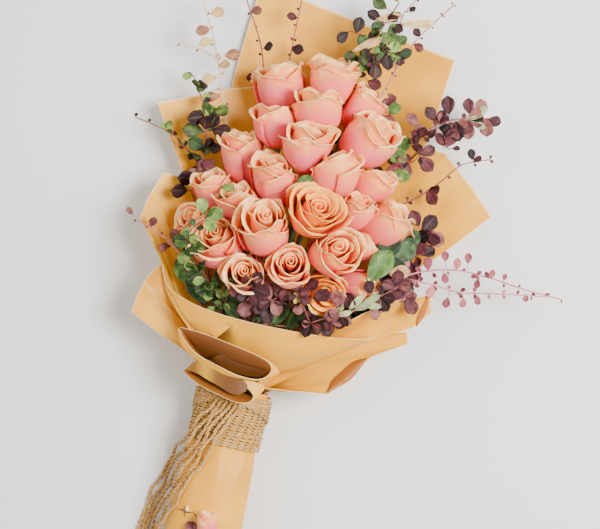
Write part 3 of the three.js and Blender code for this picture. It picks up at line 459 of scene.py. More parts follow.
def kinked(path, draw):
    run = run_along(path)
    level = unit(np.cross(unit(np.gradient(path, axis=0)), [0, 0, 1]))
    aside = np.zeros(len(path))
    waves = [(draw.uniform(shortest, longest), size) for shortest, longest, size in KINKS]
    for length_mm, size in waves:
        aside += size * np.sin(run / length_mm * TURN + draw.uniform(0, 6))
    ease = np.clip(run / KINKS_EASE_MM, 0, 1)
    return path + level * (aside * ease)[:, None]


def stray_fibres(path, draw, count, longest, off):
    lines = []
    side, up = frames_along(path)
    for place in draw.integers(2, len(path) - 3, count):
        angle = draw.uniform(0, TURN)
        out = math.cos(angle) * side[place] + math.sin(angle) * up[place]
        ahead = unit(path[place + 1] - path[place])
        length_mm = draw.uniform(0.4, 1) * longest
        share = np.linspace(0, 1, FIBRE_POINTS)[:, None]
        line = path[place] + out * (off * (0.75 + 0.5 * share)) + ahead * share * length_mm
        line[:, 2] = np.maximum(line[:, 2], FIBRE_RADIUS * 2)
        lines.append(rod(line, FIBRE_RADIUS))
    return lines


print("kinks go up to", round(sum(size for _, _, size in KINKS), 2), "mm to each side")

# %% [markdown]
# Each end is one piece.

# %% Twine tails
TAIL_FIBRES = 26
TAIL_FIBRE_MM = 5

for index in range(TAILS):
    draw = np.random.default_rng(70 + index)
    path = tail_route(index)
    path = off_floor(kinked(smooth_path(path, int(length_of(path) / STRAND_STEP)), draw))
    lines = plies_round(path, TWINE * TWINE_LOOSE, TWINE_TWIST)
    lines += stray_fibres(path, draw, TAIL_FIBRES, TAIL_FIBRE_MM, TWINE / 2)
    piece = rods(f"twine_end_{index + 1}", lines, jute)
    stands_for(piece, "jute_twine", f"twine_tail_{index + 1}")
    print(piece.name, "is", round(length_of(path)), "mm long")

# %% [markdown]
# ## Roses
# A rose head is layer on layer of petals round a wound heart. A bud still stands closed like an egg,
# and only the rims of its outer petals roll back. An open head shows the heart. The petals are pink
# with a peach rim of uneven width, and an open head is more orange. Each petal tells its finish by
# numbers stored at its points: how far up a point is, how far inside the head, and the petal's tone.

# %% Petal finish
VEINS_PER_PETAL = 30
VEIN_STRETCH = 1.4
BLUSH_MM = 16
RIM_PATCH_MM = 9
RIM_UNEVEN = 0.42

petal_skin, shader = new_material("rose_petal", 0.52, Subsurface_Weight=0.3, Subsurface_Scale=0.005,
                                  Specular_IOR_Level=0.3)
shader.inputs["Subsurface Radius"].default_value = (1.0, 0.3, 0.2)
uneven = worked_out(petal_skin, "SUBTRACT", pattern(petal_skin, RIM_PATCH_MM), 0.5)
up = worked_out(petal_skin, "MULTIPLY_ADD", uneven, RIM_UNEVEN, attribute(petal_skin, "up"))
# The yellowish foot is the petal's own colour; the orange band just above it is a painted glow, light shining
# through the petals in the crevices.
pink = ramp(petal_skin, up, [(0.0, "#D9A84E"), (0.12, "#F86A40"), (0.3, "#FF5E68"), (0.66, "#FF727E"),
                             (0.82, "#FF8A5C"), (0.93, "#FFAC66"), (1.0, "#FFD89E")])
peach = ramp(petal_skin, up, [(0.0, "#DDBB68"), (0.3, "#FF7052"), (0.7, "#FF884E"), (0.9, "#FFA456"),
                              (1.0, "#FFD08A")])
heart = ramp(petal_skin, up, [(0.0, "#C0500C"), (0.5, "#FF7818"), (0.85, "#FF9424"), (1.0, "#FFB048")])
blush = ramp(petal_skin, pattern(petal_skin, BLUSH_MM), [(0.3, "#929292"), (0.7, "#CCCCCC")])
veins = pattern(petal_skin, 1, (VEINS_PER_PETAL, VEIN_STRETCH, 1), source="UV")
vein_tone = ramp(petal_skin, veins, [(0.3, "#969696"), (0.7, "#BEBEBE")])
color = blend_colors(petal_skin, attribute(petal_skin, "tone"), pink, peach)
color = blend_colors(petal_skin, attribute(petal_skin, "inner"), color, heart)
color = blend_colors(petal_skin, 0.5, color, blush, "SOFT_LIGHT")
color = blend_colors(petal_skin, 0.2, color, vein_tone, "OVERLAY")
finish_with(petal_skin, shader, color, veins, 0.12)
print(petal_skin.name, "has", len(petal_skin.node_tree.nodes), "nodes")

# %% [markdown]
# The heads stand where the photograph shows them. Some are lower and wider than a bud, and two of
# these are full blown. Two heads lie almost shut between the others, with narrower petals.

# %% Rose table
# Each row is the place of the head's middle, its width, its rise from the table and its heading.
ROSES = [
    ((-22, 369, 52), 48, 12, -22), ((28, 384, 56), 51, 15, -10), ((19, 351, 82), 45, 20, -12),
    ((63, 370, 52), 42, 15, 15), ((-21, 328, 72), 40, 12, -15), ((81, 331, 74), 53, 28, 22),
    ((21, 309, 99), 54, 35, -5), ((-48, 285, 64), 40, 15, -18), ((-8, 268, 95), 49, 30, -13),
    ((50, 287, 104), 50, 18, -5), ((96, 284, 72), 43, 15, 12), ((-69, 242, 70), 39, 20, -30),
    ((-39, 230, 94), 44, 25, -20), ((42, 241, 128), 62, 55, 20), ((-3, 212, 124), 54, 45, -15),
    ((-50, 192, 102), 52, 50, -45), ((-78, 205, 70), 36, 40, -60), ((83, 254, 98), 36, 30, 5),
    ((113, 248, 74), 52, 15, 35), ((69, 204, 122), 57, 55, 25), ((98, 219, 88), 34, 20, 60),
    ((29, 182, 134), 42, 72, -10), ((-14, 160, 118), 40, 68, -30), ((8, 175, 89), 36, 60, -10),
    ((69, 164, 112), 44, 70, 120), ((106, 178, 92), 38, 30, 85),
]
OPEN_ROSES = {14, 16, 20, 22, 25}
FULL_ROSES = {14, 25}
TALL_ROSES = {8: 60}
# The share of their width that the petals of an almost shut head keep. Head 40 is the small bud on
# the handle. No petal of head 26 may stand further out than this share of its egg.
SHUT_ROSES = {21: 0.9, 26: 0.8, 40: 0.9}
SHUT_REACH = {26: 1.03}
BUD_TALL, OPEN_TALL = 1.18, 0.86
FULLNESS = 1.1


def direction_of(rise, heading):
    rise, heading = math.radians(rise), math.radians(heading)
    return np.array([math.cos(rise) * math.sin(heading), math.cos(rise) * math.cos(heading), math.sin(rise)])


def rose_facts():
    facts = []
    for number, (at, wide, rise, heading) in enumerate(ROSES, start=1):
        tall = TALL_ROSES.get(number, wide * (OPEN_TALL if number in OPEN_ROSES else BUD_TALL))
        axis = direction_of(rise, heading)
        centre = np.array(at, float)
        facts.append({"number": number, "centre": centre, "axis": axis, "wide": wide * FULLNESS, "tall": tall,
                      "full": number in FULL_ROSES, "foot": centre - axis * tall / 2})
    return facts


roses = rose_facts()
print(len(roses), "roses,", len(OPEN_ROSES), "of them lower and wider than a bud")

# %% [markdown]
# Where two heads meet, both give way up to a plane between them, as soft heads do in a tight bunch.
# The plane lies where it takes as much from one head as from the other.

# %% Planes between heads
ROSE_CLEARANCE = 0.35
REACH = 1.06
NEAR_MM = 8
GIVING_SHARE = 0.7


def reach_of(rose, direction):
    along = rose["axis"].dot(direction)
    aside = math.sqrt(max(1 - along * along, 0))
    return REACH * math.hypot(rose["tall"] / 2 * along, rose["wide"] / 2 * aside)


def planes_round(rose):
    """Each plane: its normal, its offset, how far the head stood over it, and how deep it gives way."""
    planes = []
    for other in roses:
        if other is rose:
            continue
        normal = other["centre"] - rose["centre"]
        distance = np.linalg.norm(normal)
        normal = normal / distance
        own, theirs = reach_of(rose, normal), reach_of(other, normal)
        if own + theirs + NEAR_MM < distance:
            continue
        share = own - (own + theirs - distance) / 2
        offset = rose["centre"].dot(normal) + share - ROSE_CLEARANCE / 2
        planes.append((normal, offset, max(own - share, 1), GIVING_SHARE * share))
    return planes


print("rose 14 meets", len(planes_round(roses[13])), "others")

# %% [markdown]
# The points near a plane are squeezed together in front of it, and the foot stays on its stem. A
# point that gives way to one head can move into another, so two more rounds draw such points back.

# %% Pressing heads together
FOOT_HELD_MM, FOOT_EASE_MM = 7, 11
PRESSES = 3


def within_egg(points, rose, reach):
    """The points, with those beyond the reach of the head's egg drawn back to it."""
    offset = points - rose["centre"]
    along = offset @ rose["axis"]
    aside = np.linalg.norm(offset - along[:, None] * rose["axis"], axis=1)
    beyond = np.hypot(along / rose["tall"], aside / rose["wide"]) * 2 / reach
    return rose["centre"] + offset / np.maximum(beyond, 1)[:, None]


def pressed(points, rose):
    points = points.copy()
    from_foot = np.linalg.norm(points - rose["foot"], axis=1)
    loose = np.clip((from_foot - FOOT_HELD_MM) / FOOT_EASE_MM, 0, 1)
    loose = loose * loose * (3 - 2 * loose)
    for press in range(PRESSES):
        for normal, offset, excess, depth in planes_round(rose):
            beyond = points @ normal - offset
            squeeze = depth / (depth + excess + 2) if press == 0 else 1
            settled = np.minimum(-depth + (beyond + depth) * squeeze, -0.01)
            shift = np.where(beyond > -depth, settled - beyond, 0) * loose
            points += shift[:, None] * normal
    if rose["number"] in SHUT_REACH:
        points = within_egg(points, rose, SHUT_REACH[rose["number"]])
    return points


towards = unit(roses[14]["centre"] - roses[13]["centre"])
touching = roses[13]["centre"] + towards * reach_of(roses[13], towards)
given = np.linalg.norm(pressed(touching[None], roses[13]) - touching)
print("rose 14 gives way to rose 15 by", given.round(1), "mm")

# %% [markdown]
# Petals, leaves and sheets all start as a flat grid of faces, because its UV map still runs along and
# across the shape when its corners have been moved to worked-out points. Numbers for the finish are
# stored at the points, and a modifier gives the shape its thickness.

# %% Grids and joins


def shaped_grid(name, points):
    """A grid of faces with its corners at rows of points, in millimetres."""
    rows, columns = points.shape[:2]
    bpy.ops.mesh.primitive_grid_add(x_subdivisions=columns - 1, y_subdivisions=rows - 1, size=1)
    piece = bpy.context.object
    piece.name = name
    move_points(piece, points)
    return piece


def move_points(piece, points):
    piece.data.vertices.foreach_set("co", in_frame(points).ravel())
    piece.data.update()


def points_of(piece):
    points = np.empty(len(piece.data.vertices) * 3)
    piece.data.vertices.foreach_get("co", points)
    return (points.reshape(-1, 3) - TIE) / MM


def mark(piece, **values):
    """Numbers stored at the points of a piece, for its finish to read."""
    for name, value in values.items():
        stored = piece.data.attributes.new(name, "FLOAT", "POINT")
        count = len(piece.data.vertices)
        stored.data.foreach_set("value", np.broadcast_to(np.ravel(value), count).astype(np.float32))


def joined(pieces, name):
    choose(pieces)
    if len(pieces) > 1:
        bpy.ops.object.join()
    piece = bpy.context.object
    piece.name = piece.data.name = name
    return piece


def thickened(piece, thick_mm, **settings):
    choose([piece])
    bpy.ops.object.modifier_add(type="SOLIDIFY")
    solidify = piece.modifiers[-1]
    solidify.thickness = thick_mm * MM
    solidify.offset = 0
    solidify.use_quality_normals = True
    for name, value in settings.items():
        setattr(solidify, name, value)
    bpy.ops.object.modifier_apply(modifier=solidify.name)
    return piece


# %% [markdown]
# The rows of a petal follow a profile from its foot to its rolled rim, its columns bend round the
# stem, and its sides are lower than its tip. The rim rolls outwards most on both sides of the tip, so
# that the tip itself stands as a small point.

# %% The shape of one petal
BODY_ROWS, ROLL_ROWS, PETAL_COLUMNS = 10, 6, 13
PLUMP = 1.16
ROLL_SHARE = 0.15
TIP_ASIDE, TIP_WIDTH = 0.3, 0.2
SHOULDER_POWER = 2.6
STEP_AHEAD = 0.02
SIDE_FROM = 0.7
RISEN_AT = 0.4
WAVE = 0.012


def petal_points(rose, petal, draw):
    """Rows of points for a rose that stands on its foot, and how far up each of them is."""
    radius, tall = petal["radius"] * rose["wide"] / 2 * PLUMP, petal["tall"] * rose["tall"]
    profile = dense_curve([(r * radius, z * tall, 0) for r, z in petal["profile"]])[:, :2]
    run = run_along(profile)
    length = run[-1]
    run /= length

    def at(share):
        return np.interp(share, run, profile[:, 0]), np.interp(share, run, profile[:, 1])

    # The outline, and the direction of the profile at each point of it.
    body = np.linspace(0, 1 - ROLL_SHARE, BODY_ROWS)
    up = np.concatenate([body, np.linspace(1 - ROLL_SHARE, 1, ROLL_ROWS + 1)[1:]])[:, None]
    across = np.linspace(-1, 1, PETAL_COLUMNS)[None, :]
    tip = draw.uniform(-TIP_ASIDE, TIP_ASIDE)
    outline = 1 - petal["shoulder"] * np.abs(across - tip * 0.4) ** SHOULDER_POWER
    outline += petal["point"] * np.exp(-((across - tip) / TIP_WIDTH) ** 2)
    along = np.clip(np.minimum(up, 1 - ROLL_SHARE) * outline, 0, 1)
    out, high = at(along)
    nudged = np.clip(along + STEP_AHEAD, 0, 1 + STEP_AHEAD)
    (out_after, high_after), (out_before, high_before) = at(nudged), at(nudged - 2 * STEP_AHEAD)
    ahead_out, ahead_up = out_after - out_before, high_after - high_before
    size = np.maximum(np.hypot(ahead_out, ahead_up), 1e-6)
    ahead_out, ahead_up = ahead_out / size, ahead_up / size
    # The roll of the rim, which is weaker at the tip and gone at both sides.
    rolled = np.maximum(up - (1 - ROLL_SHARE), 0) * length * outline
    to_side = np.clip((np.abs(across) - SIDE_FROM) / (1 - SIDE_FROM), 0, 1) ** 2
    bend = petal["roll"] * (0.45 + 0.55 * np.minimum(np.abs(across - tip) / 0.45, 1)) * (1 - 0.95 * to_side)
    roll_radius = np.maximum(ROLL_SHARE * length / np.maximum(bend, 0.05), 0.6)
    turn = rolled / roll_radius
    out = out + roll_radius * (np.sin(turn) * ahead_out + (1 - np.cos(turn)) * ahead_up)
    high = high + roll_radius * (np.sin(turn) * ahead_up - (1 - np.cos(turn)) * ahead_out)
    # One side tucked under the other, flared edges and a slight wave, all of them above the foot.
    risen = np.clip(up / RISEN_AT, 0, 1)
    out = out * (1 + petal["tuck"] * across * risen)
    out = out + petal["flare"] * radius * np.maximum(np.abs(across) - 0.65, 0) ** 2 * risen * 4
    out = out + WAVE * radius * np.sin(across * 4 + draw.uniform(0, 6)) * risen
    angle = petal["turn"] + petal["span"] * across * (0.5 + 0.5 * risen * (2 - risen))
    points = np.stack([out * np.cos(angle), out * np.sin(angle), high + 0 * angle], axis=-1)
    outwards = np.array([math.cos(petal["turn"]), math.sin(petal["turn"]), 0])
    return points + petal["lean"] * risen[..., None] * outwards * radius, up * (1 - 0.2 * to_side)


print("a petal has", (BODY_ROWS + ROLL_ROWS) * PETAL_COLUMNS, "points")

# %% [markdown]
# Petals follow each other in a spiral, each turned from the last by the golden angle, as they grow.
# In a bud the outer ones stand as high as the rest and lean in over them. In an open rose they are
# lower, wider and rolled back, and the inner ones close step by step.

# %% Petals of a bud and of an open rose
GOLDEN_TURN = math.radians(137.5)
BUD_PETALS, OPEN_PETALS = 9, 16
BUD_STEPS = (0.93, 0.97, 1.0, 0.98, 0.96)


def bud_petal(depth, closing):
    rim = 0.97 - 0.27 * closing
    return {
        "radius": 1.0 - 0.62 * depth, "tall": BUD_STEPS[round(depth * 4)],
        "profile": [(0.12, -0.06), (0.6, 0.0), (0.9, 0.18), (1.0, 0.45), (1.0, 0.7), (0.6 + 0.4 * rim, 0.87),
                    (rim, 1.0)],
        "span": math.radians(78 + 14 * depth), "roll": 2.4 - 1.7 * depth, "tuck": 0.045,
        "flare": 0.05 * (1 - depth), "shoulder": 0.22, "point": 0.05 * (1 - 0.5 * depth),
        "inner": 0.45 * depth ** 1.5,
    }


def open_petal(depth):
    rim = 1.02 - 0.3 * depth
    return {
        "radius": 1.0 - 0.7 * depth ** 0.9, "tall": 0.74 + 0.2 * min(depth * 2, 1),
        "profile": [(0.12, -0.05), (0.64, 0.0), (0.92, 0.2), (1.0, 0.5), (0.5 + 0.5 * rim, 0.8), (rim, 1.0)],
        "span": math.radians(54 + 28 * depth), "roll": 2.3 - 1.3 * depth, "tuck": 0.05,
        "flare": 0.04 * (1 - depth), "shoulder": 0.2, "point": 0.05 * (1 - depth),
        "inner": min(0.6 + 1.2 * depth, 1),
    }


print("the outermost petal reaches", open_petal(0)["tall"], "or", bud_petal(0, 1)["tall"], "of the height")

# %% [markdown]
# The innermost petals of a rose are wound so tightly that they look like one. So the heart is one
# long petal, wound a little more than twice.

# %% The heart
HEART_TURNS = 2.2
HEART_SHARE = 0.33
HEART_COLUMNS, HEART_ROWS = 40, 7
HEART_FOOT = 0.35


def heart_points(rose, draw):
    share = np.linspace(0, 1, HEART_COLUMNS)[None, :]
    up = np.linspace(0, 1, HEART_ROWS)[:, None]
    angle = draw.uniform(0, 6) + share * HEART_TURNS * TURN
    radius = rose["wide"] / 2 * HEART_SHARE * (0.12 + 0.88 * share) * (0.85 + 0.3 * up ** 2)
    top = rose["tall"] * (0.84 if rose["full"] else 0.93) * (1 - 0.06 * np.sin(angle * 1.5) ** 2)
    foot = rose["tall"] * HEART_FOOT
    high = foot + (top - foot) * up
    points = np.stack([radius * np.cos(angle), radius * np.sin(angle), high + 0 * angle], axis=-1)
    return points, up + 0 * angle


print("a heart has", HEART_COLUMNS * HEART_ROWS, "points")

# %% [markdown]
# A head is built upright on its foot and then turned to its axis. Its petals are joined, get their
# thickness and are pressed against the neighbours last, so that no petal pokes into another head.

# %% Building a head
PETAL_THICK = 0.5


def turned_to(axis):
    side = unit(np.cross([0.2, 0.3, 1.0], axis))
    return np.stack([side, np.cross(axis, side), axis])


def rose_head(rose, name):
    draw = np.random.default_rng(400 + rose["number"])
    stand = turned_to(rose["axis"])
    start = draw.uniform(0, TURN)
    tone = draw.uniform(0.0, 0.55)
    closing = draw.uniform(0.2, 1.0)
    count = OPEN_PETALS if rose["full"] else BUD_PETALS
    petals = []
    for number in range(count):
        depth = number / (count - 1)
        petal = open_petal(depth) if rose["full"] else bud_petal(depth, closing)
        petal["turn"] = start + number * GOLDEN_TURN + draw.uniform(-0.12, 0.12)
        petal["tall"] *= draw.uniform(0.97, 1.02)
        petal["lean"] = draw.uniform(-0.02, 0.03)
        if rose["number"] in SHUT_ROSES:
            petal.update(roll=0.15 * petal["roll"], flare=0.0, point=0.02,
                         radius=SHUT_ROSES[rose["number"]] * petal["radius"])
        points, up = petal_points(rose, petal, draw)
        piece = shaped_grid(name, points @ stand + rose["foot"])
        mark(piece, up=up, inner=petal["inner"], tone=np.clip(tone + draw.uniform(-0.2, 0.2), 0, 1))
        petals.append(piece)
    points, up = heart_points(rose, draw)
    heart = shaped_grid(name, points @ stand + rose["foot"])
    mark(heart, up=up, inner=1.0 if rose["full"] else 0.5, tone=tone)
    head = thickened(joined([*petals, heart], name), PETAL_THICK)
    move_points(head, pressed(points_of(head), rose))
    head.data.materials.append(petal_skin)
    bpy.ops.object.shade_smooth()
    return head


for rose in roses:
    node = f"rose_{rose['number']:02d}"
    head = stands_for(rose_head(rose, node + "_head"), "rose_petals", node)
print("the last rose has", len(head.data.polygons), "faces")

# %% [markdown]
# ## Kraft paper
# Kraft is strong brown paper with a slight sheen. Its cut edge is paler than its face, and a painted
# highlight lies along the rim as well. Where a sheet is rolled or folded the light inside it turns
# orange, so the inside of rolls and folds is painted in a darker orange shade. The grid's UV map tells
# how near a point is to the rim. Deep inside a fold the photograph is much darker than soft lights
# alone would make it, so a number at each point, deep, blends in the colour of that painted shade.

# %% Kraft finish
KRAFT_FIBRE_MM = 1.4
KRAFT_CLOUD_MM = 60
# The pale band along each grid's rim is the paper's paler edge with a painted highlight on it.
EDGE_SHARE = 0.0028
EDGE_PALE_AND_LIT = "#F2CE8C"


def off_middle(material, axis):
    """How far a point is from the middle line of its own UV map."""
    split = add(material, "ShaderNodeSeparateXYZ", {0: add(material, "ShaderNodeTexCoord").outputs["UV"]})
    return worked_out(material, "SUBTRACT", split.outputs[axis], 0.5)


def kraft(name, tones, deep=None):
    material, shader = new_material(name, 0.45, Specular_IOR_Level=0.3)
    fibres = pattern(material, KRAFT_FIBRE_MM, (1, 2.6, 1), 3.0)
    clouds = pattern(material, KRAFT_CLOUD_MM, detail=1.0)
    color = ramp(material, clouds, [(0.3, tones[0]), (0.7, tones[1])])
    aside = worked_out(material, "ABSOLUTE", off_middle(material, "X"))
    nearest = worked_out(material, "MAXIMUM", aside, off_middle(material, "Y"))
    # The pale edge and its painted highlight.
    on_edge = add(material, "ShaderNodeMapRange", {
        "Value": nearest, "From Min": 0.5 - 2 * EDGE_SHARE, "From Max": 0.5 - EDGE_SHARE})
    color = blend_colors(material, on_edge.outputs[0], color, linear(EDGE_PALE_AND_LIT))
    if deep:
        color = blend_colors(material, attribute(material, "deep"), color, linear(deep))
    grain = ramp(material, fibres, [(0.35, "#6A6A6A"), (0.65, "#989898")])
    color = blend_colors(material, 0.2, color, grain, "OVERLAY")
    return finish_with(material, shader, color, fibres, 0.05)


kraft_face = kraft("kraft_paper", ("#DC991A", "#E9AD2A"), "#481A12")
# The inside of rolled and folded paper: a darker orange copy of the kraft, painted shade with some bounced
# light.
kraft_shaded_inside = kraft("kraft_shaded_inside", ("#AA5A1E", "#BC7029"), "#56300F")
# The cut edge: paler kraft with a painted highlight.
kraft_edge = kraft("kraft_cut_edge_with_painted_highlight", ("#EBC27C", "#F2D29A"))
print(kraft_face.name, "has", len(kraft_face.node_tree.nodes), "nodes")

# %% [markdown]
# In the neck the sheets lie in layers, like the skins of an onion. A sheet's depth says how many
# layers it lies below the outermost.

# %% Layers in the neck
PAPER_LAYER = (34.6, 25.8)
PAPER_LAYER_STEP = 1.4


def neck_point(depth, turn, y):
    angle = math.radians(turn)
    return [(PAPER_LAYER[0] - depth * PAPER_LAYER_STEP) * math.cos(angle), y,
            NECK_HEIGHT + (PAPER_LAYER[1] - depth * PAPER_LAYER_STEP) * math.sin(angle)]


print("the outermost layer is", round(neck_point(0, 90, 0)[2], 1), "mm high")

# %% [markdown]
# A sheet is gathered in the neck and fans out from there, so it is laid out along ribs. The same few
# places as in the CAD model lead each rib, and the ribs stand closer where a sheet bends more.

# %% Ribs of the sheets
# Each sheet is its depth and its ribs, and each rib is its turn round the neck and its places.
SHEETS = {
    "back_sheet_tall": (0, [
        (212, [(-40, 100, 3), (-75, 240, 2), (-82, 361, 5), (-75, 485, 8)]),
        (240, [(-18, 105, 0.8), (-38, 240, 0.4), (-34, 350, 0.4), (-20, 478, 2)]),
        (270, [(6, 100, 0.4), (18, 240, 0.4), (30, 350, 0.4), (37, 469, 0.4)]),
        (300, [(28, 105, 0.8), (68, 240, 0.4), (88, 345, 0.4), (98, 459, 3)]),
        (328, [(52, 112, 5), (112, 235, 2.5), (146, 345, 5), (157, 449, 14)]),
    ]),
    "back_sheet_left": (1, [
        (190, [(-48, 95, 26), (-80, 200, 26), (-116, 262, 32), (-157, 325, 31)]),
        (210, [(-42, 98, 18), (-72, 215, 15), (-122, 342, 20)]),
        (231, [(-30, 100, 12.5), (-55, 220, 7), (-85, 360, 8.5)]),
        (252, [(-14, 100, 8), (-30, 220, 3.5), (-50, 372, 4)]),
    ]),
    "back_sheet_right": (1, [
        (322, [(62, 95, 28), (140, 185, 44), (187, 229, 45), (235, 285, 31)]),
        (311, [(58, 108, 18), (126, 208, 26), (207, 312, 26)]),
        (300, [(44, 112, 10), (98, 213, 13), (170, 343, 20)]),
        (289, [(26, 110, 6), (68, 215, 5), (108, 285, 6), (146, 345, 12)]),
    ]),
    "side_sheet_left": (2, [
        (168, [(-50, 72, 58), (-85, 112, 66), (-109, 152, 68), (-144, 195, 60)]),
        (182, [(-52, 90, 48), (-95, 155, 56), (-142, 216, 54)]),
        (197, [(-50, 105, 34), (-88, 175, 40), (-132, 250, 46)]),
        (211, [(-42, 108, 22), (-72, 180, 26), (-104, 250, 34)]),
    ]),
    "outer_sheet_left": (0, [
        (160, [(-42, 50, 55), (-60, 62, 58), (-95, 76, 59), (-130, 92, 60)]),
        (175, [(-50, 62, 50), (-88, 95, 54), (-128, 112, 60)]),
        (190, [(-52, 75, 40), (-88, 112, 48), (-121, 136, 62)]),
        (205, [(-50, 85, 30), (-80, 122, 42), (-110, 151, 62)]),
    ]),
    "front_sheet": (4, [
        (158, [(-52, 78, 78), (-80, 106, 86), (-97, 126, 84), (-108, 151, 78)]),
        (140, [(-44, 76, 76), (-73, 104, 90), (-96, 130, 89)]),
        (122, [(-34, 70, 74), (-56, 95, 91), (-73, 120, 98)]),
        (104, [(-20, 64, 70), (-29, 88, 92), (-37, 114, 106)]),
        (86, [(2, 60, 68), (5, 86, 90), (5, 112, 110)]),
        (70, [(24, 56, 62), (43, 70, 78), (50, 91, 97), (57, 114, 110)]),
        (60, [(34, 58, 61), (64, 75, 75), (76, 93, 95), (94, 117, 106)]),
        (50, [(44, 62, 61), (88, 90, 73), (99, 100, 89), (113, 120, 102)]),
        (40, [(50, 66, 61), (110, 106, 71), (118, 112, 84), (128, 122, 96)]),
        (31, [(54, 70, 60), (112, 112, 68), (133, 124, 73), (137, 129, 88)]),
    ]),
    "right_roll": (5, [
        (48, [(46, 74, 51), (70, 98, 64), (78, 120, 88)]),
        (38, [(60, 82, 53), (88, 108, 72), (103, 137, 102)]),
        (28, [(74, 92, 55), (108, 128, 75), (133, 162, 95)]),
        (18, [(85, 95, 56), (125, 138, 69), (160, 175, 83)]),
        (10, [(86, 88, 55), (135, 138, 63), (185, 184, 72)]),
        (4, [(82, 82, 54), (130, 122, 60), (191, 166, 64)]),
        (-2, [(78, 78, 53), (122, 114, 58), (174, 144, 62)]),
    ]),
    "bottom_sheet_right": (1, [
        (-3, [(38.6, 41, 48), (35, 43, 62), (32, 45, 70)]),
        (-7, [(42, 43, 46), (58, 46, 59), (73, 49, 67)]),
        (-11, [(48, 46, 40), (75, 50, 52), (101, 53, 62)]),
        (-16, [(54, 54, 36), (90, 68, 46), (120, 78, 56)]),
        (-21, [(60, 68, 34), (100, 88, 44), (139, 104, 53)]),
        (-26, [(66, 80, 35), (118, 104, 44), (175, 126, 48)]),
        (-30, [(66, 86, 36), (115, 110, 45), (171, 139, 50)]),
        (-34, [(62, 84, 35), (95, 105, 45), (128, 124, 52)]),
    ]),
}
print(len(SHEETS), "sheets,", sum(len(ribs) for _, ribs in SHEETS.values()), "ribs")

# %% [markdown]
# Between the ribs the rows are smooth curves. Where the florist has cut the paper with straight
# sides, the rim is a broken line from rib to rib instead, and the rows turn into it step by step.

# %% Rows across the ribs
STRAIGHT_RIMS = {"back_sheet_tall", "back_sheet_left", "back_sheet_right", "side_sheet_left",
                 "outer_sheet_left", "bottom_sheet_right", "right_roll"}


def evenly(row, columns):
    """As many points as columns, evenly spread over the numbers of a row's points."""
    return read_at(np.linspace(0, len(row) - 1, columns), np.arange(len(row)), row)


def fanned(lines, columns, straight):
    """Rows across a set of ribs that all have the same number of points."""
    rows = lines.transpose(1, 0, 2)
    points = np.array([evenly(dense_curve(row), columns) for row in rows])
    if straight:
        flat = np.array([evenly(row, columns) for row in rows])
        out = np.linspace(0, 1, len(points))[:, None, None] ** 2
        points = points * (1 - out) + flat * out
    return points


print(len(STRAIGHT_RIMS), "sheets have a rim with straight sides")

# %% [markdown]
# A crease is a shallow ridge that runs out from the neck. It is nothing at the neck, where the band
# holds the paper flat, and grows towards the rim.

# %% Creases
CREASES = 7
CREASE_MM = 4.5


def surface_normals(points):
    return unit(np.cross(np.gradient(points, axis=1), np.gradient(points, axis=0)))


def creased(points, seed):
    draw = np.random.default_rng(seed)
    rows, columns = points.shape[:2]
    out = np.clip(np.linspace(0, 1, rows)[:, None] * 1.25 - 0.15, 0, 1)
    across = np.linspace(0, 1, columns)[None, :]
    relief = np.zeros((rows, columns))
    for _ in range(CREASES):
        middle = draw.uniform(0.05, 0.95)
        lean = draw.uniform(-0.12, 0.12)
        width = draw.uniform(0.025, 0.07)
        strength = draw.uniform(-1, 1) * CREASE_MM
        away = np.abs(across - middle - lean * out) / width
        relief += strength * np.exp(-away) * out * (1.2 - out)
    return points + surface_normals(points) * relief[..., None]


print("each sheet has", CREASES, "creases")

# %% [markdown]
# A lip is a rim folded back, so that its inside shows in the painted orange shade of the paper's
# inside. On the front sheet it is a tuck, where the paper laps over itself, and the shadow beside it
# is painted into the sheet's colour. A lip follows the sheet below it: its height at each point is the
# mean height of the sheet's nearest points, and a little more.

# %% Lips and the tuck
# Each lip is its outer and inner line, its bulge, and how far it is lifted at the start and at the
# end of the outer line and along the inner line.
LIPS = {
    "front_sheet": [(
        [(-18.2, 104.5, 97), (-24.5, 96, 93), (-32, 86.5, 90)],
        [(-21, 106, 97), (-33, 102, 94), (-46, 95, 91)], 0.2, (-0.4, 3.0, -0.6))],
    "bottom_sheet_right": [(
        [(134, 101, 55), (130, 90, 58.5), (121, 73, 62), (108, 61, 64), (100, 54, 65)],
        [(134, 101, 55), (121, 94, 61.5), (110, 80, 66), (102, 68, 67.5), (99, 55, 66)],
        2.0, (0.9, 0.9, 0.9))],
    "right_roll": [(
        [(184, 184, 74), (185, 172, 71), (184, 160, 68), (179, 147, 66)],
        [(183, 184, 75), (180, 173, 74), (177, 160, 70), (178, 147, 67)], 1.2, (0.9, 0.9, 0.9))],
}
LIP_STEPS, STRIP_ROWS = 30, 8
LIP_NEIGHBOURS = 5
# The top and the foot of the tuck, and how far its painted shadow reaches at the foot.
TUCK_TOP, TUCK_FOOT = np.array([-18.2, 104.5]), np.array([-32, 86.5])
TUCK_SHADE_MM = 23


def strip(one_line, other_line, steps):
    """Rows of points from one line to another, and the share of the way of each row."""
    one_line, other_line = smooth_path(one_line, steps), smooth_path(other_line, steps)
    across = np.linspace(0, 1, STRIP_ROWS)[:, None, None]
    return one_line + (other_line - one_line) * across, across[..., 0]


def lip_points(sheet_points, outer_line, inner_line, bulge, lifts):
    points, across = strip(outer_line, inner_line, LIP_STEPS)
    below = sheet_points.reshape(-1, 3)
    away = np.linalg.norm(points[:, :, None, :2] - below[None, None, :, :2], axis=-1)
    nearest = np.argsort(away, axis=-1)[..., :LIP_NEIGHBOURS]
    weights = 1 / (np.take_along_axis(away, nearest, -1) + 0.1) ** 2
    heights = (below[nearest, 2] * weights).sum(-1) / weights.sum(-1)
    outer_lift = np.linspace(lifts[0], lifts[1], points.shape[1])[None, :]
    lift = outer_lift + (lifts[2] - outer_lift) * across
    points[..., 2] = heights + lift + bulge * np.sin(math.pi * across)
    return points


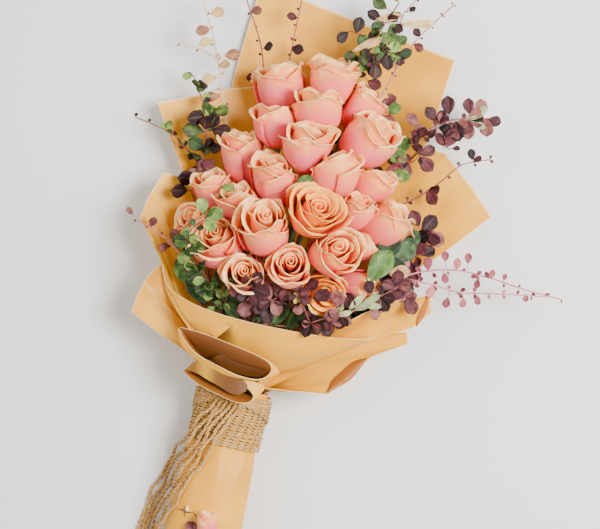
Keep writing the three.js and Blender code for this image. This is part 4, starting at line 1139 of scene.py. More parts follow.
def tuck_shade(points):
    """Painted shadow at each corner of the front sheet: most beside the tuck, none behind or above it."""
    along = unit(TUCK_FOOT - TUCK_TOP)
    from_top = points[..., :2] - TUCK_TOP
    down = from_top @ along / np.linalg.norm(TUCK_FOOT - TUCK_TOP)
    aside = from_top @ np.array([-along[1], along[0]])
    # Towards the foot the painted shade reaches further out and its edge gets softer.
    lower = np.clip(down, 0, 1.5)
    shade = 1 / (1 + np.exp((aside - 3 - TUCK_SHADE_MM * lower) / (1.5 + 8 * lower)))
    return np.where(aside > -4, shade, 0) * np.clip(down * 3 + 0.2, 0, 1) * 0.95


print("the tuck is", np.linalg.norm(TUCK_FOOT - TUCK_TOP).round(1), "mm long")

# %% [markdown]
# A sheet has a face, a back and a cut edge, which may each have a finish of their own. The modifier
# that makes it thick gives them out. The sheet never dips below the table.

# %% Making the sheets
SHEET_ROWS, SHEET_COLUMNS = 48, 60
NECK_ROWS = 4
PAPER_THICK = 0.55
PAPER_LOWEST = 0.35
SHARP_FROM = 40


def papered(sheet, face, back, edge=kraft_edge):
    for material in (face, back, edge):
        sheet.data.materials.append(material)
    thickened(sheet, PAPER_THICK, material_offset=1, material_offset_rim=2)
    bpy.ops.object.shade_smooth_by_angle(angle=math.radians(SHARP_FROM))
    return sheet


def sheet_points(name, depth, ribs, seed):
    lines = []
    for turn, through in ribs:
        mouth = neck_point(depth, turn, MOUTH_Y)
        neck = spaced([neck_point(depth, turn, NECK_FROM_Y), mouth], NECK_ROWS)
        lines.append(np.vstack([neck[:-1], smooth_path([mouth, *through], SHEET_ROWS - NECK_ROWS)]))
    points = creased(fanned(np.array(lines), SHEET_COLUMNS, name in STRAIGHT_RIMS), seed)
    points[..., 2] = np.maximum(points[..., 2], PAPER_LOWEST)
    rib = max(length_of(points[:, column]) for column in range(SHEET_COLUMNS))
    print(name, "rim", round(length_of(points[-1])), "mm, longest rib", round(rib), "mm")
    return points


def paper_sheet(name, depth, ribs, seed):
    points = sheet_points(name, depth, ribs, seed)
    is_front = name == "front_sheet"
    sheet = shaped_grid(name + "_paper", points)
    # Only the front sheet gets painted shadow, beside its tuck.
    mark(sheet, deep=tuck_shade(points) if is_front else 0)
    pieces = [papered(sheet, kraft_face, kraft_face)]
    lips = [shaped_grid(name, lip_points(points, *lip)) for lip in LIPS.get(name, [])]
    for lip in lips:
        # A lip's back shows the painted orange shade of the paper's inside, except on the front sheet, and
        # the lower right sheet's lip is darkened further by painted shade.
        mark(lip, deep=0.35 if name == "bottom_sheet_right" else 0)
        pieces.append(papered(lip, kraft_face, kraft_face if is_front else kraft_shaded_inside))
    return stands_for(joined(pieces, name + "_paper"), "kraft_paper", name)


for seed, (name, (depth, ribs)) in enumerate(SHEETS.items()):
    paper_sheet(name, depth, ribs, seed)

# %% [markdown]
# In front the paper stands open in two pouches, one over the other. Flaps lie at the rim of each:
# folds, corners and the skirt below the mouth.

# %% Pouches
# turns is where the walls leave the neck and swell how far they belly out. wall and back are the
# front and the back of the mouth. deep is the shade at the front rim, at the back rim and in the neck.
# Each flap is its inner and outer line, its finish, the finish of its edge and the shade along it.
POUCHES = {
    "front_pouch": {
        "depth": 2, "turns": (116, 64), "swell": (0, 2, 0), "deep": (0.1, 0.5, 0.95),
        "wall": [(-74, 88, 92), (-64, 77, 92), (-49, 66, 92), (-26, 59, 93), (1, 53, 93), (22, 53.5, 92.5),
                 (31, 58.5, 92), (34.5, 65, 91.5)],
        "back": [(34, 69, 92), (30.5, 73.5, 93.5), (20, 78, 98), (-10, 84, 103), (-44, 89, 101),
                 (-71, 90, 94)],
        "flaps": [
            ([(-33, 63, 83), (-30.6, 66, 88), (-22, 70.5, 89), (-10, 67.5, 89), (10, 65, 89), (24, 64, 88.5),
              (32, 65, 87)],
             [(-33, 61, 83), (-28, 60, 82), (-20, 57.5, 82), (-8, 55, 82), (9, 54, 82), (24, 56, 82.5),
              (32, 60, 84)],
             kraft_shaded_inside, kraft_shaded_inside, (1.0,)),
            ([(24, 77.3, 95), (30.5, 74, 92.8), (34.2, 69, 91.2), (34.7, 65, 90.8), (31.3, 58, 91),
              (22, 53, 91.6)],
             [(24.2, 77.6, 95), (35, 73, 91), (43, 66.6, 88), (43.4, 65.6, 88), (34, 58, 88.5),
              (22.2, 52.6, 91)],
             kraft_face, kraft_edge, (0.05,)),
            ([(-74.5, 87.6, 91.2), (-64.5, 76.4, 91.2), (-49.3, 65.4, 91.2), (-26.2, 58.4, 91.2),
              (1, 52.4, 92.2), (22, 53, 92)],
             [(-73.6, 85.4, 91), (-68, 73, 88), (-55.7, 63, 86), (-35, 54.5, 85), (-6, 49.8, 88),
              (22, 52, 91.5)],
             kraft_face, kraft_edge, (0.05,)),
        ],
    },
    "lower_pouch": {
        "depth": 0, "turns": (116, 64), "swell": (0, 3, 1), "deep": (0.5, 0.6, 0.8),
        "wall": [(-60, 43, 76), (-42, 34, 82), (-19, 28, 86), (3, 24, 87), (14, 25, 86.5), (20, 28, 85.5),
                 (22, 33, 84)],
        "back": [(21, 36, 84), (16, 40, 84.5), (8, 44, 85), (-14, 47, 86), (-36, 48, 82), (-57, 46, 77)],
        "flaps": [
            ([(-57.3, 45, 78), (-51, 45.4, 80.5), (-42.8, 44.3, 83), (-30.4, 40.3, 85), (-16, 36, 86.2),
              (-2.6, 31.6, 87), (4.9, 32.3, 87), (12.5, 37.8, 86)],
             [(-56.8, 46, 78), (-48.4, 56.6, 83), (-40, 57.6, 85), (-27, 56, 86.2), (-13, 54.8, 87.2),
              (-2, 53, 87.5), (6, 50, 87), (13, 44.5, 86)],
             kraft_face, kraft_edge, (0.75, 0.8, 0.4, 0.85, 0.92, 0.92, 0.9)),
            ([(7, 45.3, 85), (16, 40.6, 84.3), (21.2, 36.3, 83.6), (22.4, 33, 83.4), (20.3, 27.6, 84.4)],
             [(7.2, 50.6, 85.5), (20, 49.5, 83), (31.4, 46, 81), (27, 36, 81.5), (20.6, 27.4, 84)],
             kraft_face, kraft_edge, (0.05,)),
        ],
    },
}
print({name: len(facts["flaps"]) for name, facts in POUCHES.items()}, "flaps")

# %% [markdown]
# A pouch is a closed band of paper. Its outer wall runs up from the neck to the front of the mouth,
# and its inner wall from the back of the mouth down again. So one grid goes right round it, and the
# seam where it meets itself is merged. A flap is a strip between two lines.

# %% Making the pouches
POUCH_COLUMNS, POUCH_ROWS = 30, 20
POUCH_FROM_Y = 16
SWELL_AT = 0.45
FLAP_STEPS = 40


def pouch_wall(facts, rim_line, depth, turns, bulge):
    lines = []
    rims = smooth_path(rim_line, POUCH_COLUMNS)
    for share, rim in zip(np.linspace(0, 1, len(rims)), rims):
        turn = turns[0] + (turns[1] - turns[0]) * share
        mouth = np.array(neck_point(depth, turn, MOUTH_Y))
        middle = mouth + (rim - mouth) * SWELL_AT + np.array(facts["swell"]) * bulge
        wall = smooth_path([mouth, middle, rim], POUCH_ROWS)
        lines.append(np.vstack([[neck_point(depth, turn, POUCH_FROM_Y)], wall]))
    return lines


def flap(name, inner_line, outer_line, face, edge, deep):
    points, across = strip(inner_line, outer_line, FLAP_STEPS)
    piece = shaped_grid(name + "_flap", points)
    marks = np.interp(np.linspace(0, len(deep) - 1, points.shape[1]), range(len(deep)), deep)
    mark(piece, deep=marks[None, :] + 0 * across)
    return papered(piece, face, face, edge)


def pouch(name, facts):
    first, last = facts["turns"]
    outer = pouch_wall(facts, facts["wall"], facts["depth"], (first, last), 1)
    inner = pouch_wall(facts, facts["back"], facts["depth"] + 1, (last, first), -1)
    loop = np.array([*outer, *inner, outer[0]]).transpose(1, 0, 2)
    piece = shaped_grid(name + "_paper", loop)
    # The pouch's inside is painted in orange shade, and painted shade on its walls grows from the rim down
    # into the neck.
    at_front, at_back, at_neck = facts["deep"]
    at_rim = np.where(np.arange(loop.shape[1]) < len(outer), at_front, at_back)[None, :]
    inside = 1 - np.linspace(0, 1, loop.shape[0])[:, None] ** 6
    mark(piece, deep=at_rim + (at_neck - at_rim) * inside)
    close_seams(piece)
    flaps = [flap(name, *lines) for lines in facts["flaps"]]
    piece = joined([papered(piece, kraft_face, kraft_shaded_inside), *flaps], name + "_paper")
    return stands_for(piece, "kraft_paper", name)


for name, facts in POUCHES.items():
    piece = pouch(name, facts)
    print(piece.name, len(piece.data.polygons), "faces")

# %% [markdown]
# The handle is one more sheet, rolled round the stems. Its outer edge laps over the sheet below, and
# the band gathers it into shallow flutes that fade out down the handle. A thorn has pushed through
# it, and the paper is dented and torn round it; the tears are dark rods of painted shadow.

# %% Handle sleeve
SLEEVE_ROWS, SLEEVE_COLUMNS = 60, 140
SLEEVE_FROM_Y, SLEEVE_TO_Y = 35.5, -200
SLEEVE_INSIDE = 0.6
LAP_DEGREES = 24
LAP_AT = -50
LAP_FROM, LAP_EASE, LAP_LIFT = 345, 20, 0.7
FLUTES = 9
FLUTE_MM = 0.9
FLUTE_FADE_MM = 30
# The points of the thorn's tip, each with a radius.
THORN = [(-22, -106, 56, 3.0), (-22, -105, 60.5, 2.0), (-23, -101, 64.5, 0.15)]
# Each tear is a dark line of painted shadow beside the thorn, also with radii.
TEARS = [
    [(-34, -108, 57.2, 0.3), (-27, -107, 59.8, 0.7), (-21, -108.5, 61.6, 0.7), (-14, -106, 63.4, 0.2)],
    [(-24, -101, 61, 0.2), (-24.5, -107, 60.8, 0.6), (-22, -114, 61.4, 0.2)],
    [(-14, -107, 63.2, 0.3), (-8, -111, 64.3, 0.6), (-3, -110, 64.9, 0.2)],
]
# Each dent is its place across and along, its half width, half length and depth.
SLEEVE_DENTS = [(8, -46, 4.5, 22, 1.3), (21, -42, 5, 18, 1.1), (-20, -106, 7, 3, 1.8), (-13, -112, 3, 9, 1.4),
                (-30, -104, 4, 3, 1.2)]
# The tears' painted shadow.
tear_shadow_skin = plain_finish("torn_kraft_shadow", 0.9, 3, "#4A2C14", "#6E4524")
thorn_skin = plain_finish("pale_thorn", 0.5, 5, "#E3C9A8", "#F3E3CC")


def sleeve_points():
    degrees = np.linspace(0, 360 + LAP_DEGREES, SLEEVE_COLUMNS)
    turns = np.radians(LAP_AT + degrees)
    lap = np.clip((degrees - LAP_FROM) / LAP_EASE, 0, 1) * LAP_LIFT
    rows = []
    for y in np.linspace(SLEEVE_FROM_Y, SLEEVE_TO_Y, SLEEVE_ROWS):
        wide, high = sleeve_size(y)
        below = max(BAND_FROM_Y - y, 0)
        gather = FLUTE_MM * math.exp(-max(below - 2, 0) / FLUTE_FADE_MM) * min(below / 8, 1)
        fold = gather * np.sin(turns * FLUTES + 0.8 * np.sin(turns * 2))
        for x_dent, y_dent, wide_dent, long_dent, depth_dent in SLEEVE_DENTS:
            away = ((np.cos(turns) * wide - x_dent) / wide_dent) ** 2 + ((y - y_dent) / long_dent) ** 2
            fold = fold - depth_dent * np.exp(-away) * (np.sin(turns) > 0)
        x = (wide - SLEEVE_INSIDE + lap + fold) * np.cos(turns)
        z = NECK_HEIGHT + (high - SLEEVE_INSIDE + lap + fold) * np.sin(turns)
        rows.append(np.column_stack([x, np.full(SLEEVE_COLUMNS, y), np.maximum(z, PAPER_LOWEST)]))
    return np.array(rows)


# The sleeve's inside is painted in the orange shade of the paper's inside.
paper = papered(shaped_grid("handle_sleeve_paper", sleeve_points()), kraft_face, kraft_shaded_inside)
thorn = rods("thorn_tips", [np.array(THORN, float)], thorn_skin, resolution=2)
tears = rods("tears", [smooth_path(line, 14) for line in TEARS], tear_shadow_skin)
sleeve = joined([paper, thorn, tears], "handle_sleeve_paper")
stands_for(sleeve, "kraft_paper", "handle_sleeve")
print(sleeve.name, len(sleeve.data.polygons), "faces")

# %% [markdown]
# ## The jute band
# The florist winds the twine round the neck many times, and the windings lie side by side. No winding
# is quite straight, so each wanders a little along the neck and away from it.

# %% Windings
WINDING = 3.4
WINDING_TWIST = 18
BAND_STEP = 1.6
BAND_ROUND = 38
# The step between two wandering values of a winding in radians, and how far they go.
WINDING_DRIFT, WINDING_LIFT = (1.3, 0.9), (0.9, 0.3)


def wandering(angle, step, size, draw):
    known = np.arange(0, angle[-1] + 2, step)
    return size * np.interp(angle, known, draw.uniform(-1, 1, int((angle[-1] + 2) / step) + 1))


def windings():
    draw = np.random.default_rng(8)
    turns = int((BAND_TO_Y - BAND_FROM_Y - WINDING) / (WINDING * 0.95))
    angle = np.arange(0, turns * TURN, BAND_STEP / BAND_ROUND)
    y = BAND_FROM_Y + WINDING / 2 + angle / TURN * WINDING * 0.97
    drift = wandering(angle, *WINDING_DRIFT, draw)
    lift = wandering(angle, *WINDING_LIFT, draw)
    x = (BAND_OUTER[0] - 2 + lift) * np.cos(angle)
    z = NECK_HEIGHT + (BAND_OUTER[1] - 2 + lift) * np.sin(angle)
    return np.column_stack([x, y + drift, np.maximum(z, WINDING / 2 + 0.1)])


print("the windings take", round(length_of(windings()) / 1000, 1), "m of twine")

# %% [markdown]
# Over the windings more strands cross to both sides from the knot, which is three short strands on
# top. Each tail starts with a lead from the knot, and stray fibres stand off all round.

# %% Crossings, knot and leads
CROSSINGS, CROSSING_STEP, CROSSING_POINTS = 7, 2.6, 60
CROSSING_LIFT = 1.6
KNOT_Y = 27
# For each side: the turns that its crossings run from and to, and the y where they end, with its step.
CROSSING_SIDES = [(96, 205, 24, 1.5), (84, -25, 26, 1.7)]
KNOT = [(-21, 20, 60.5), (-12, 25, 66.5), (0, 27, 68.5), (9, 26, 67), (17, 22, 62.5)]
BAND_FIBRES = 130
BAND_FIBRE_MM = 12


def crossing(turn_from, turn_to, y_from, y_to):
    share = np.linspace(0, 1, CROSSING_POINTS)
    angle = np.radians(turn_from + (turn_to - turn_from) * share)
    rise = CROSSING_LIFT * np.sin(share * math.pi) ** 0.5
    return np.column_stack([
        (BAND_OUTER[0] - 1 + rise) * np.cos(angle), y_from + (y_to - y_from) * share,
        NECK_HEIGHT + (BAND_OUTER[1] - 1 + rise) * np.sin(angle)])


def wound(path):
    return plies_round(path, WINDING, WINDING_TWIST)


def band_lines():
    lines = wound(windings())
    draw = np.random.default_rng(12)
    for count in range(CROSSINGS):
        shift = count * CROSSING_STEP + draw.uniform(-0.6, 0.6)
        for turn_from, turn_to, y_to, step in CROSSING_SIDES:
            lines += wound(crossing(turn_from, turn_to, KNOT_Y - shift * 0.2, y_to - shift * step))
    for index in range(TAILS):
        start = tail_route(index)[0]
        lead = [(-6 + index * 1.2, KNOT_Y, 67.5), start + [3, 8, 3], start + [0, 0, 0.6]]
        lines += plies_round(smooth_path(lead, 16), TWINE * 0.9, TWINE_TWIST)
    for lift in (-2.0, 0.0, 2.0):
        lines += wound(smooth_path(KNOT, 30) + [0, lift, -abs(lift) * 0.4])
    return lines + stray_fibres(windings(), draw, BAND_FIBRES, BAND_FIBRE_MM, 2.6)


band = stands_for(rods("twine_band_windings", band_lines(), jute), "jute_twine", "twine_band")
print("band:", len(band.data.polygons), "faces")

# %% [markdown]
# ## Stems
# The stems run from the cut ends in the handle up to a green cup under each head. Between the roses
# they only show in the shade, so a plain striped green is enough for them.

# %% Stem finish
stem_skin = plain_finish("rose_stem", 0.55, 9, "#4A6236", "#7C9457", (1, 4, 1), grain_mm=2)
print(stem_skin.name, "has", len(stem_skin.node_tree.nodes), "nodes")

# %% [markdown]
# In the neck the stems fill an oval bundle, spread like the seeds of a sunflower. Each head takes the
# free place that lies most nearly on its own side, and the heads furthest out choose first.

# %% Places in the bundle
STEM_BUNDLE = (19.6, 10.8)
BUNDLE_TOP_Y, BUNDLE_END_Y = 60, -178
PLACES_Y = BUNDLE_TOP_Y - 14
BUNDLE_FILL, BUNDLE_RIM = 0.86, 0.9
SPIRAL_STEP = 2.4
# A head this far aside or above the middle height wants a place at the rim of the bundle.
FAR_ASIDE, MIDDLE_HEIGHT, FAR_ABOVE = 110, 75, 60


def bundle_point(share, angle, y):
    return np.array([STEM_BUNDLE[0] * share * math.cos(angle), y,
                     NECK_HEIGHT + STEM_BUNDLE[1] * share * math.sin(angle)])


def wanted_place(rose):
    wish = np.array([rose["foot"][0] / FAR_ASIDE, 0, (rose["foot"][2] - MIDDLE_HEIGHT) / FAR_ABOVE])
    return wish / max(1, np.linalg.norm(wish))


count = len(roses)
places = [bundle_point(BUNDLE_FILL * math.sqrt((i + 0.5) / count), i * SPIRAL_STEP, PLACES_Y)
          for i in range(count)]
for rose in sorted(roses, key=lambda r: -np.linalg.norm(wanted_place(r))):
    wish = wanted_place(rose)
    target = bundle_point(BUNDLE_RIM * np.linalg.norm(wish), math.atan2(wish[2], wish[0]), PLACES_Y)
    nearest = min(range(len(places)), key=lambda i: np.linalg.norm(places[i] - target))
    rose["place"] = places.pop(nearest)
print("rose 1 stands at", roses[0]["place"].round(1))

# %% [markdown]
# Each stem is a rod that keeps its radius up to its head and widens into the cup there.

# %% Stems and cups
STEM_RADIUS = 2.5
STEM_STRAIGHT = 16
CUP_TALL = 7
CUP_RADIUS = 6


def stem_lines():
    lines = []
    draw = np.random.default_rng(3)
    for rose in roses:
        axis, foot = rose["axis"], rose["foot"]
        end = rose["place"].copy()
        end[1] = BUNDLE_END_Y - draw.uniform(0, 14)
        route = [end, rose["place"], foot - axis * (CUP_TALL + STEM_STRAIGHT), foot - axis * CUP_TALL, foot]
        lines.append(rod(route, [STEM_RADIUS, STEM_RADIUS, STEM_RADIUS, STEM_RADIUS * 1.1, CUP_RADIUS]))
    return lines


stems = rods("rose_stems_round", stem_lines(), stem_skin, resolution=2)
stands_for(stems, "rose_stems", "rose_stems")
print("stems:", len(stems.data.polygons), "faces")

# %% [markdown]
# ## Foliage
# The twigs are thin and reddish, with small rounded leaves. Most leaves are the dusty purple of
# barberry, and some are green. One finish makes them all: its colours lie on a ramp, where patches
# and the tone of each leaf choose between them, and the rib down the middle is paler.

# %% Leaf finish
LEAF_ROUGHNESS = 0.56
LEAF_PATCH_MM = 7
RIB_SHARE = 0.05
RIB_STRENGTH = 0.3


def leaf_skin(name, colors, rib, at=(0.05, 0.4, 0.75, 1.0)):
    material, shader = new_material(name, LEAF_ROUGHNESS, Specular_IOR_Level=0.28)
    off_rib = worked_out(material, "ABSOLUTE", off_middle(material, "X"))
    mixed = worked_out(material, "ADD", pattern(material, LEAF_PATCH_MM), attribute(material, "tone"))
    mixed = worked_out(material, "SUBTRACT", mixed, 0.5)
    color = ramp(material, mixed, list(zip(at, colors.split())))
    on_rib = add(material, "ShaderNodeMapRange", {
        "Value": off_rib, "From Min": 0.0, "From Max": RIB_SHARE, "To Min": RIB_STRENGTH, "To Max": 0.0})
    color = blend_colors(material, on_rib.outputs[0], color, linear(rib))
    uv = add(material, "ShaderNodeTexCoord").outputs["UV"]
    waves = {"Vector": uv, "Scale": 5.0, "Distortion": 2.0}
    veins = add(material, "ShaderNodeTexWave", waves, bands_direction="DIAGONAL")
    return finish_with(material, shader, color, veins.outputs["Fac"], 0.15)


purple_leaf = leaf_skin("barberry_leaf", "#1A0A0C #38141A #56262A #865048", "#885048",
                        (0.05, 0.35, 0.65, 0.95))
green_leaf = leaf_skin("green_leaf", "#1D2E12 #3F5722 #71893C #A0B062", "#A4B270")
mixed_leaf = leaf_skin("turning_leaf", "#1E0A0E #3A1818 #293414 #465A22 #7A9240", "#7C804A",
                       (0.05, 0.36, 0.5, 0.75, 1.0))
pale_leaf = leaf_skin("pale_leaf", "#82503E #AE7E54 #CAA268 #D6BC7E", "#DCC294")
pink_leaf = leaf_skin("young_barberry_leaf", "#561824 #7E3440 #A0555A #BC7468", "#B4736C")
silver_leaf = leaf_skin("silvery_leaf", "#46512F #717D52 #969E6C #B5B985", "#BFC290")
rose_leaf = leaf_skin("rose_leaf", "#15240F #283F1A #44632A #66893C", "#6E8B48")
# Very dark green leaves, darkened as painted shade where they fill the gaps between roses and paper.
dark_shade_leaf = leaf_skin("dark_green_leaf_painted_shade", "#0C160B #1A2A16 #2E4224 #48603A", "#54694A")
floret_skin = leaf_skin("yellow_floret", "#C99A2E #EBCB5A #F7E596", "#F7E9A8", (0.1, 0.6, 1.0))


def bark(name, dark, light):
    return plain_finish(name, 0.6, 6, dark, light, (1, 3, 1), grain_mm=1.5)


twig_skin = bark("red_twig", "#5A2822", "#96504A")
pale_twig = bark("pale_twig", "#B58A74", "#DDBBA0")
pink_twig = bark("pink_twig", "#A04C56", "#CB8088")
print(purple_leaf.name, "has", len(purple_leaf.node_tree.nodes), "nodes")

# %% [markdown]
# The twigs were followed one by one in the photograph. Each has a main twig with a few side twigs,
# and its larger leaves stand where they do there.

# %% Branch table
# turn is where a branch leaves the neck. through is its main twig, sides start on it, and leaves
# are the middles of its leaves. bushy, from 0 to 2, is how many small leaves it has besides. small
# holds the share of its size that a numbered leaf keeps, and bare the twigs that stay bare.
BRANCHES = {
    "pale_tall_branch": {
        "turn": 222, "leaf": 17, "seed": 21, "skin": pale_leaf, "bushy": 0, "twig": pale_twig,
        "through": [(-34, 110, 18), (-50, 220, 24), (-70, 305, 34), (-90, 354, 44), (-105, 395, 48),
                    (-131, 446, 50)],
        "sides": [[(-102, 385, 47), (-122, 393, 46), (-146, 394, 45)]],
        "leaves": [(-113, 436, 50), (-124, 413, 50), (-118, 401, 47), (-86, 394, 50), (-93, 381, 51),
                   (-105, 363, 45), (-98, 344, 44)],
    },
    "left_dark_branch": {
        "turn": 208, "leaf": 21, "seed": 22, "skin": mixed_leaf, "bushy": 2, "bare": {1},
        "small": {5: 0.8, 8: 0.5, 9: 0.65},
        "through": [(-43, 108, 33), (-76, 200, 34), (-92, 262, 40), (-90, 300, 50), (-112, 342, 46),
                    (-123, 362, 45)],
        "sides": [[(-94, 262, 42), (-109, 279, 42), (-135, 295, 42), (-176, 303, 42)]],
        "leaves": [(-80, 288, 62), (-104, 276, 52), (-104, 250, 50), (-106, 318, 54), (-84, 330, 56),
                   (-113, 352, 52), (-78, 308, 57), (-110, 303, 54), (-138, 303, 44), (-122, 288, 46),
                   (-82, 262, 38), (-108, 234, 60)],
    },
    "top_twigs": {
        "turn": 254, "leaf": 15, "seed": 23, "skin": purple_leaf, "bushy": 0,
        "through": [(-16, 110, 15), (-26, 240, 16), (-40, 340, 20), (-54, 398, 34), (-61, 423, 40),
                    (-85, 458, 42)],
        "sides": [[(-32, 290, 18), (-24, 340, 18), (-24, 396, 26), (-25, 439, 32), (-26, 478, 34)]],
        "leaves": [(-60, 376, 34), (-50, 412, 44), (-72, 448, 44), (-18, 418, 34), (-31, 452, 35)],
    },
    "top_right_branch": {
        "turn": 290, "leaf": 18, "seed": 25, "skin": mixed_leaf, "bushy": 2,
        "through": [(16, 110, 14), (28, 240, 14), (42, 340, 16), (50, 392, 25), (56, 418, 42), (60, 434, 54),
                    (70, 462, 57), (80, 490, 56)],
        "sides": [[(58, 426, 54), (76, 432, 58), (90, 438, 56)],
                  [(62, 438, 55), (50, 446, 56), (34, 448, 55)]],
        "leaves": [(28, 440, 56), (42, 456, 57), (66, 450, 62), (82, 446, 60), (56, 420, 60), (94, 430, 57),
                   (82, 424, 58), (57, 470, 57), (72, 412, 56), (42, 420, 54), (84, 462, 60), (60, 484, 56)],
    },
    "top_right_twig": {
        "turn": 304, "leaf": 13, "seed": 26, "skin": purple_leaf, "bushy": 0, "twig": pink_twig,
        "through": [(30, 110, 15), (54, 240, 16), (74, 340, 22), (88, 400, 42), (100, 437, 50),
                    (119, 474, 55), (139, 501, 58)],
        "sides": [[(92, 415, 45), (90, 450, 49), (86, 473, 50), (98, 498, 52)]],
        "leaves": [(108, 462, 55), (112, 448, 54), (82, 462, 52), (94, 488, 53)],
    },
    "right_purple_branch": {
        "turn": 320, "leaf": 20, "seed": 27, "skin": purple_leaf, "bushy": 2, "bare": {3}, "small": {14: 0.6},
        "through": [(42, 108, 20), (82, 220, 22), (106, 300, 34), (122, 334, 46), (140, 354, 56),
                    (165, 378, 60), (207, 389, 55)],
        "sides": [[(118, 326, 42), (132, 322, 50), (140, 330, 54)],
                  [(150, 366, 58), (158, 350, 58), (172, 346, 58)],
                  [(92, 260, 27), (130, 272, 36), (169, 308, 48), (188, 332, 50), (217, 345, 50)]],
        "leaves": [(142, 378, 62), (158, 392, 62), (174, 366, 62), (132, 352, 58), (168, 352, 60),
                   (180, 396, 60), (194, 398, 56), (205, 380, 52), (124, 368, 55), (112, 346, 50),
                   (130, 312, 52), (146, 326, 54), (184, 374, 58), (162, 292, 48), (196, 346, 51)],
    },
    "right_dark_branch": {
        "turn": 352, "leaf": 22, "seed": 29, "skin": purple_leaf, "bushy": 2,
        "through": [(66, 110, 40), (110, 180, 50), (132, 210, 58), (142, 232, 66), (160, 250, 68)],
        "sides": [[(136, 218, 61), (150, 214, 68), (160, 222, 68)]],
        "leaves": [(150, 262, 70), (166, 260, 68), (176, 246, 66), (138, 246, 62), (158, 236, 70),
                   (172, 230, 66), (150, 222, 74), (160, 206, 70), (136, 204, 56)],
    },
    "long_pink_sprig": {
        "turn": 12, "leaf": 15, "seed": 30, "skin": pink_leaf, "bushy": 1, "twig": pink_twig,
        "small": {0: 0.85, 1: 0.8, 2: 0.75, 3: 0.75, 4: 0.7, 7: 0.8, 8: 0.8, 9: 0.7, 10: 0.7, 11: 0.65,
                  12: 0.55, 13: 0.55},
        "through": [(62, 92, 44), (102, 140, 58), (132, 180, 76), (158, 201, 80), (190, 214, 75),
                    (228, 218, 62), (280, 214, 50), (330, 212, 46)],
        "sides": [[(150, 197, 80), (178, 196, 78), (214, 194, 68), (262, 203, 55), (312, 211, 48)]],
        "leaves": [(217, 233, 64), (206, 224, 70), (233, 208, 62), (247, 222, 58), (196, 206, 76),
                   (184, 188, 77), (174, 217, 79), (191, 229, 76), (166, 192, 84), (222, 184, 66),
                   (204, 180, 71), (238, 190, 60), (262, 222, 54), (290, 205, 51), (150, 212, 82)],
    },
    "front_purple_branch": {
        "turn": 48, "leaf": 19, "seed": 31, "skin": purple_leaf, "bushy": 2,
        "through": [(29, 72, 54), (48, 102, 76), (60, 124, 106), (76, 134, 120), (98, 144, 117),
                    (122, 164, 108), (146, 184, 102)],
        "sides": [[(62, 126, 109), (54, 140, 122), (44, 152, 128)]],
        "leaves": [(62, 118, 114), (78, 134, 118), (40, 164, 125), (56, 166, 126), (68, 158, 124),
                   (86, 158, 120), (94, 138, 114), (104, 152, 114), (44, 146, 119), (134, 166, 107),
                   (144, 194, 105), (116, 178, 110), (128, 152, 104)],
    },
    "front_brown_branch": {
        "turn": 84, "leaf": 20, "seed": 32, "skin": purple_leaf, "bushy": 2,
        "through": [(4, 70, 62), (2, 104, 84), (4, 128, 102), (0, 142, 114), (-6, 152, 124)],
        "sides": [[(3, 132, 105), (13, 138, 112), (22, 144, 116)]],
        "leaves": [(-20, 143, 132), (-2, 150, 135), (-12, 140, 121), (22, 158, 122), (10, 150, 117),
                   (24, 134, 112), (-4, 126, 106), (16, 124, 108)],
    },
    "front_green_branch": {
        "turn": 116, "leaf": 20, "seed": 33, "skin": green_leaf, "bushy": 2, "small": {0: 0.6},
        "through": [(-17, 68, 58), (-28, 104, 80), (-40, 132, 94), (-58, 150, 100), (-78, 172, 106),
                    (-84, 196, 120), (-70, 210, 130)],
        "sides": [[(-34, 120, 89), (-30, 134, 100), (-34, 146, 105)]],
        "leaves": [(-44, 116, 98), (-24, 122, 96), (-50, 144, 102), (-40, 154, 106), (-26, 142, 106),
                   (-66, 160, 108), (-58, 136, 99), (-84, 164, 103), (-92, 180, 106), (-72, 178, 118),
                   (-62, 216, 132), (-76, 222, 130), (-70, 146, 98)],
    },
    "left_twig": {
        "turn": 149, "leaf": 14, "seed": 34, "skin": purple_leaf, "bushy": 0, "twig": pink_twig,
        "small": {0: 0.75, 1: 0.8, 2: 0.8},
        "through": [(-34, 78, 58), (-60, 120, 74), (-84, 160, 84), (-100, 174, 82), (-120, 184, 76),
                    (-147, 193, 70)],
        "sides": [], "leaves": [(-156, 200, 70), (-128, 194, 77), (-110, 170, 84), (-102, 186, 86)],
    },
}
GREEN_SLOT = {"front_green_branch", "left_dark_branch", "right_dark_branch"}
print(len(BRANCHES), "branches with", sum(len(facts["leaves"]) for facts in BRANCHES.values()), "leaves")
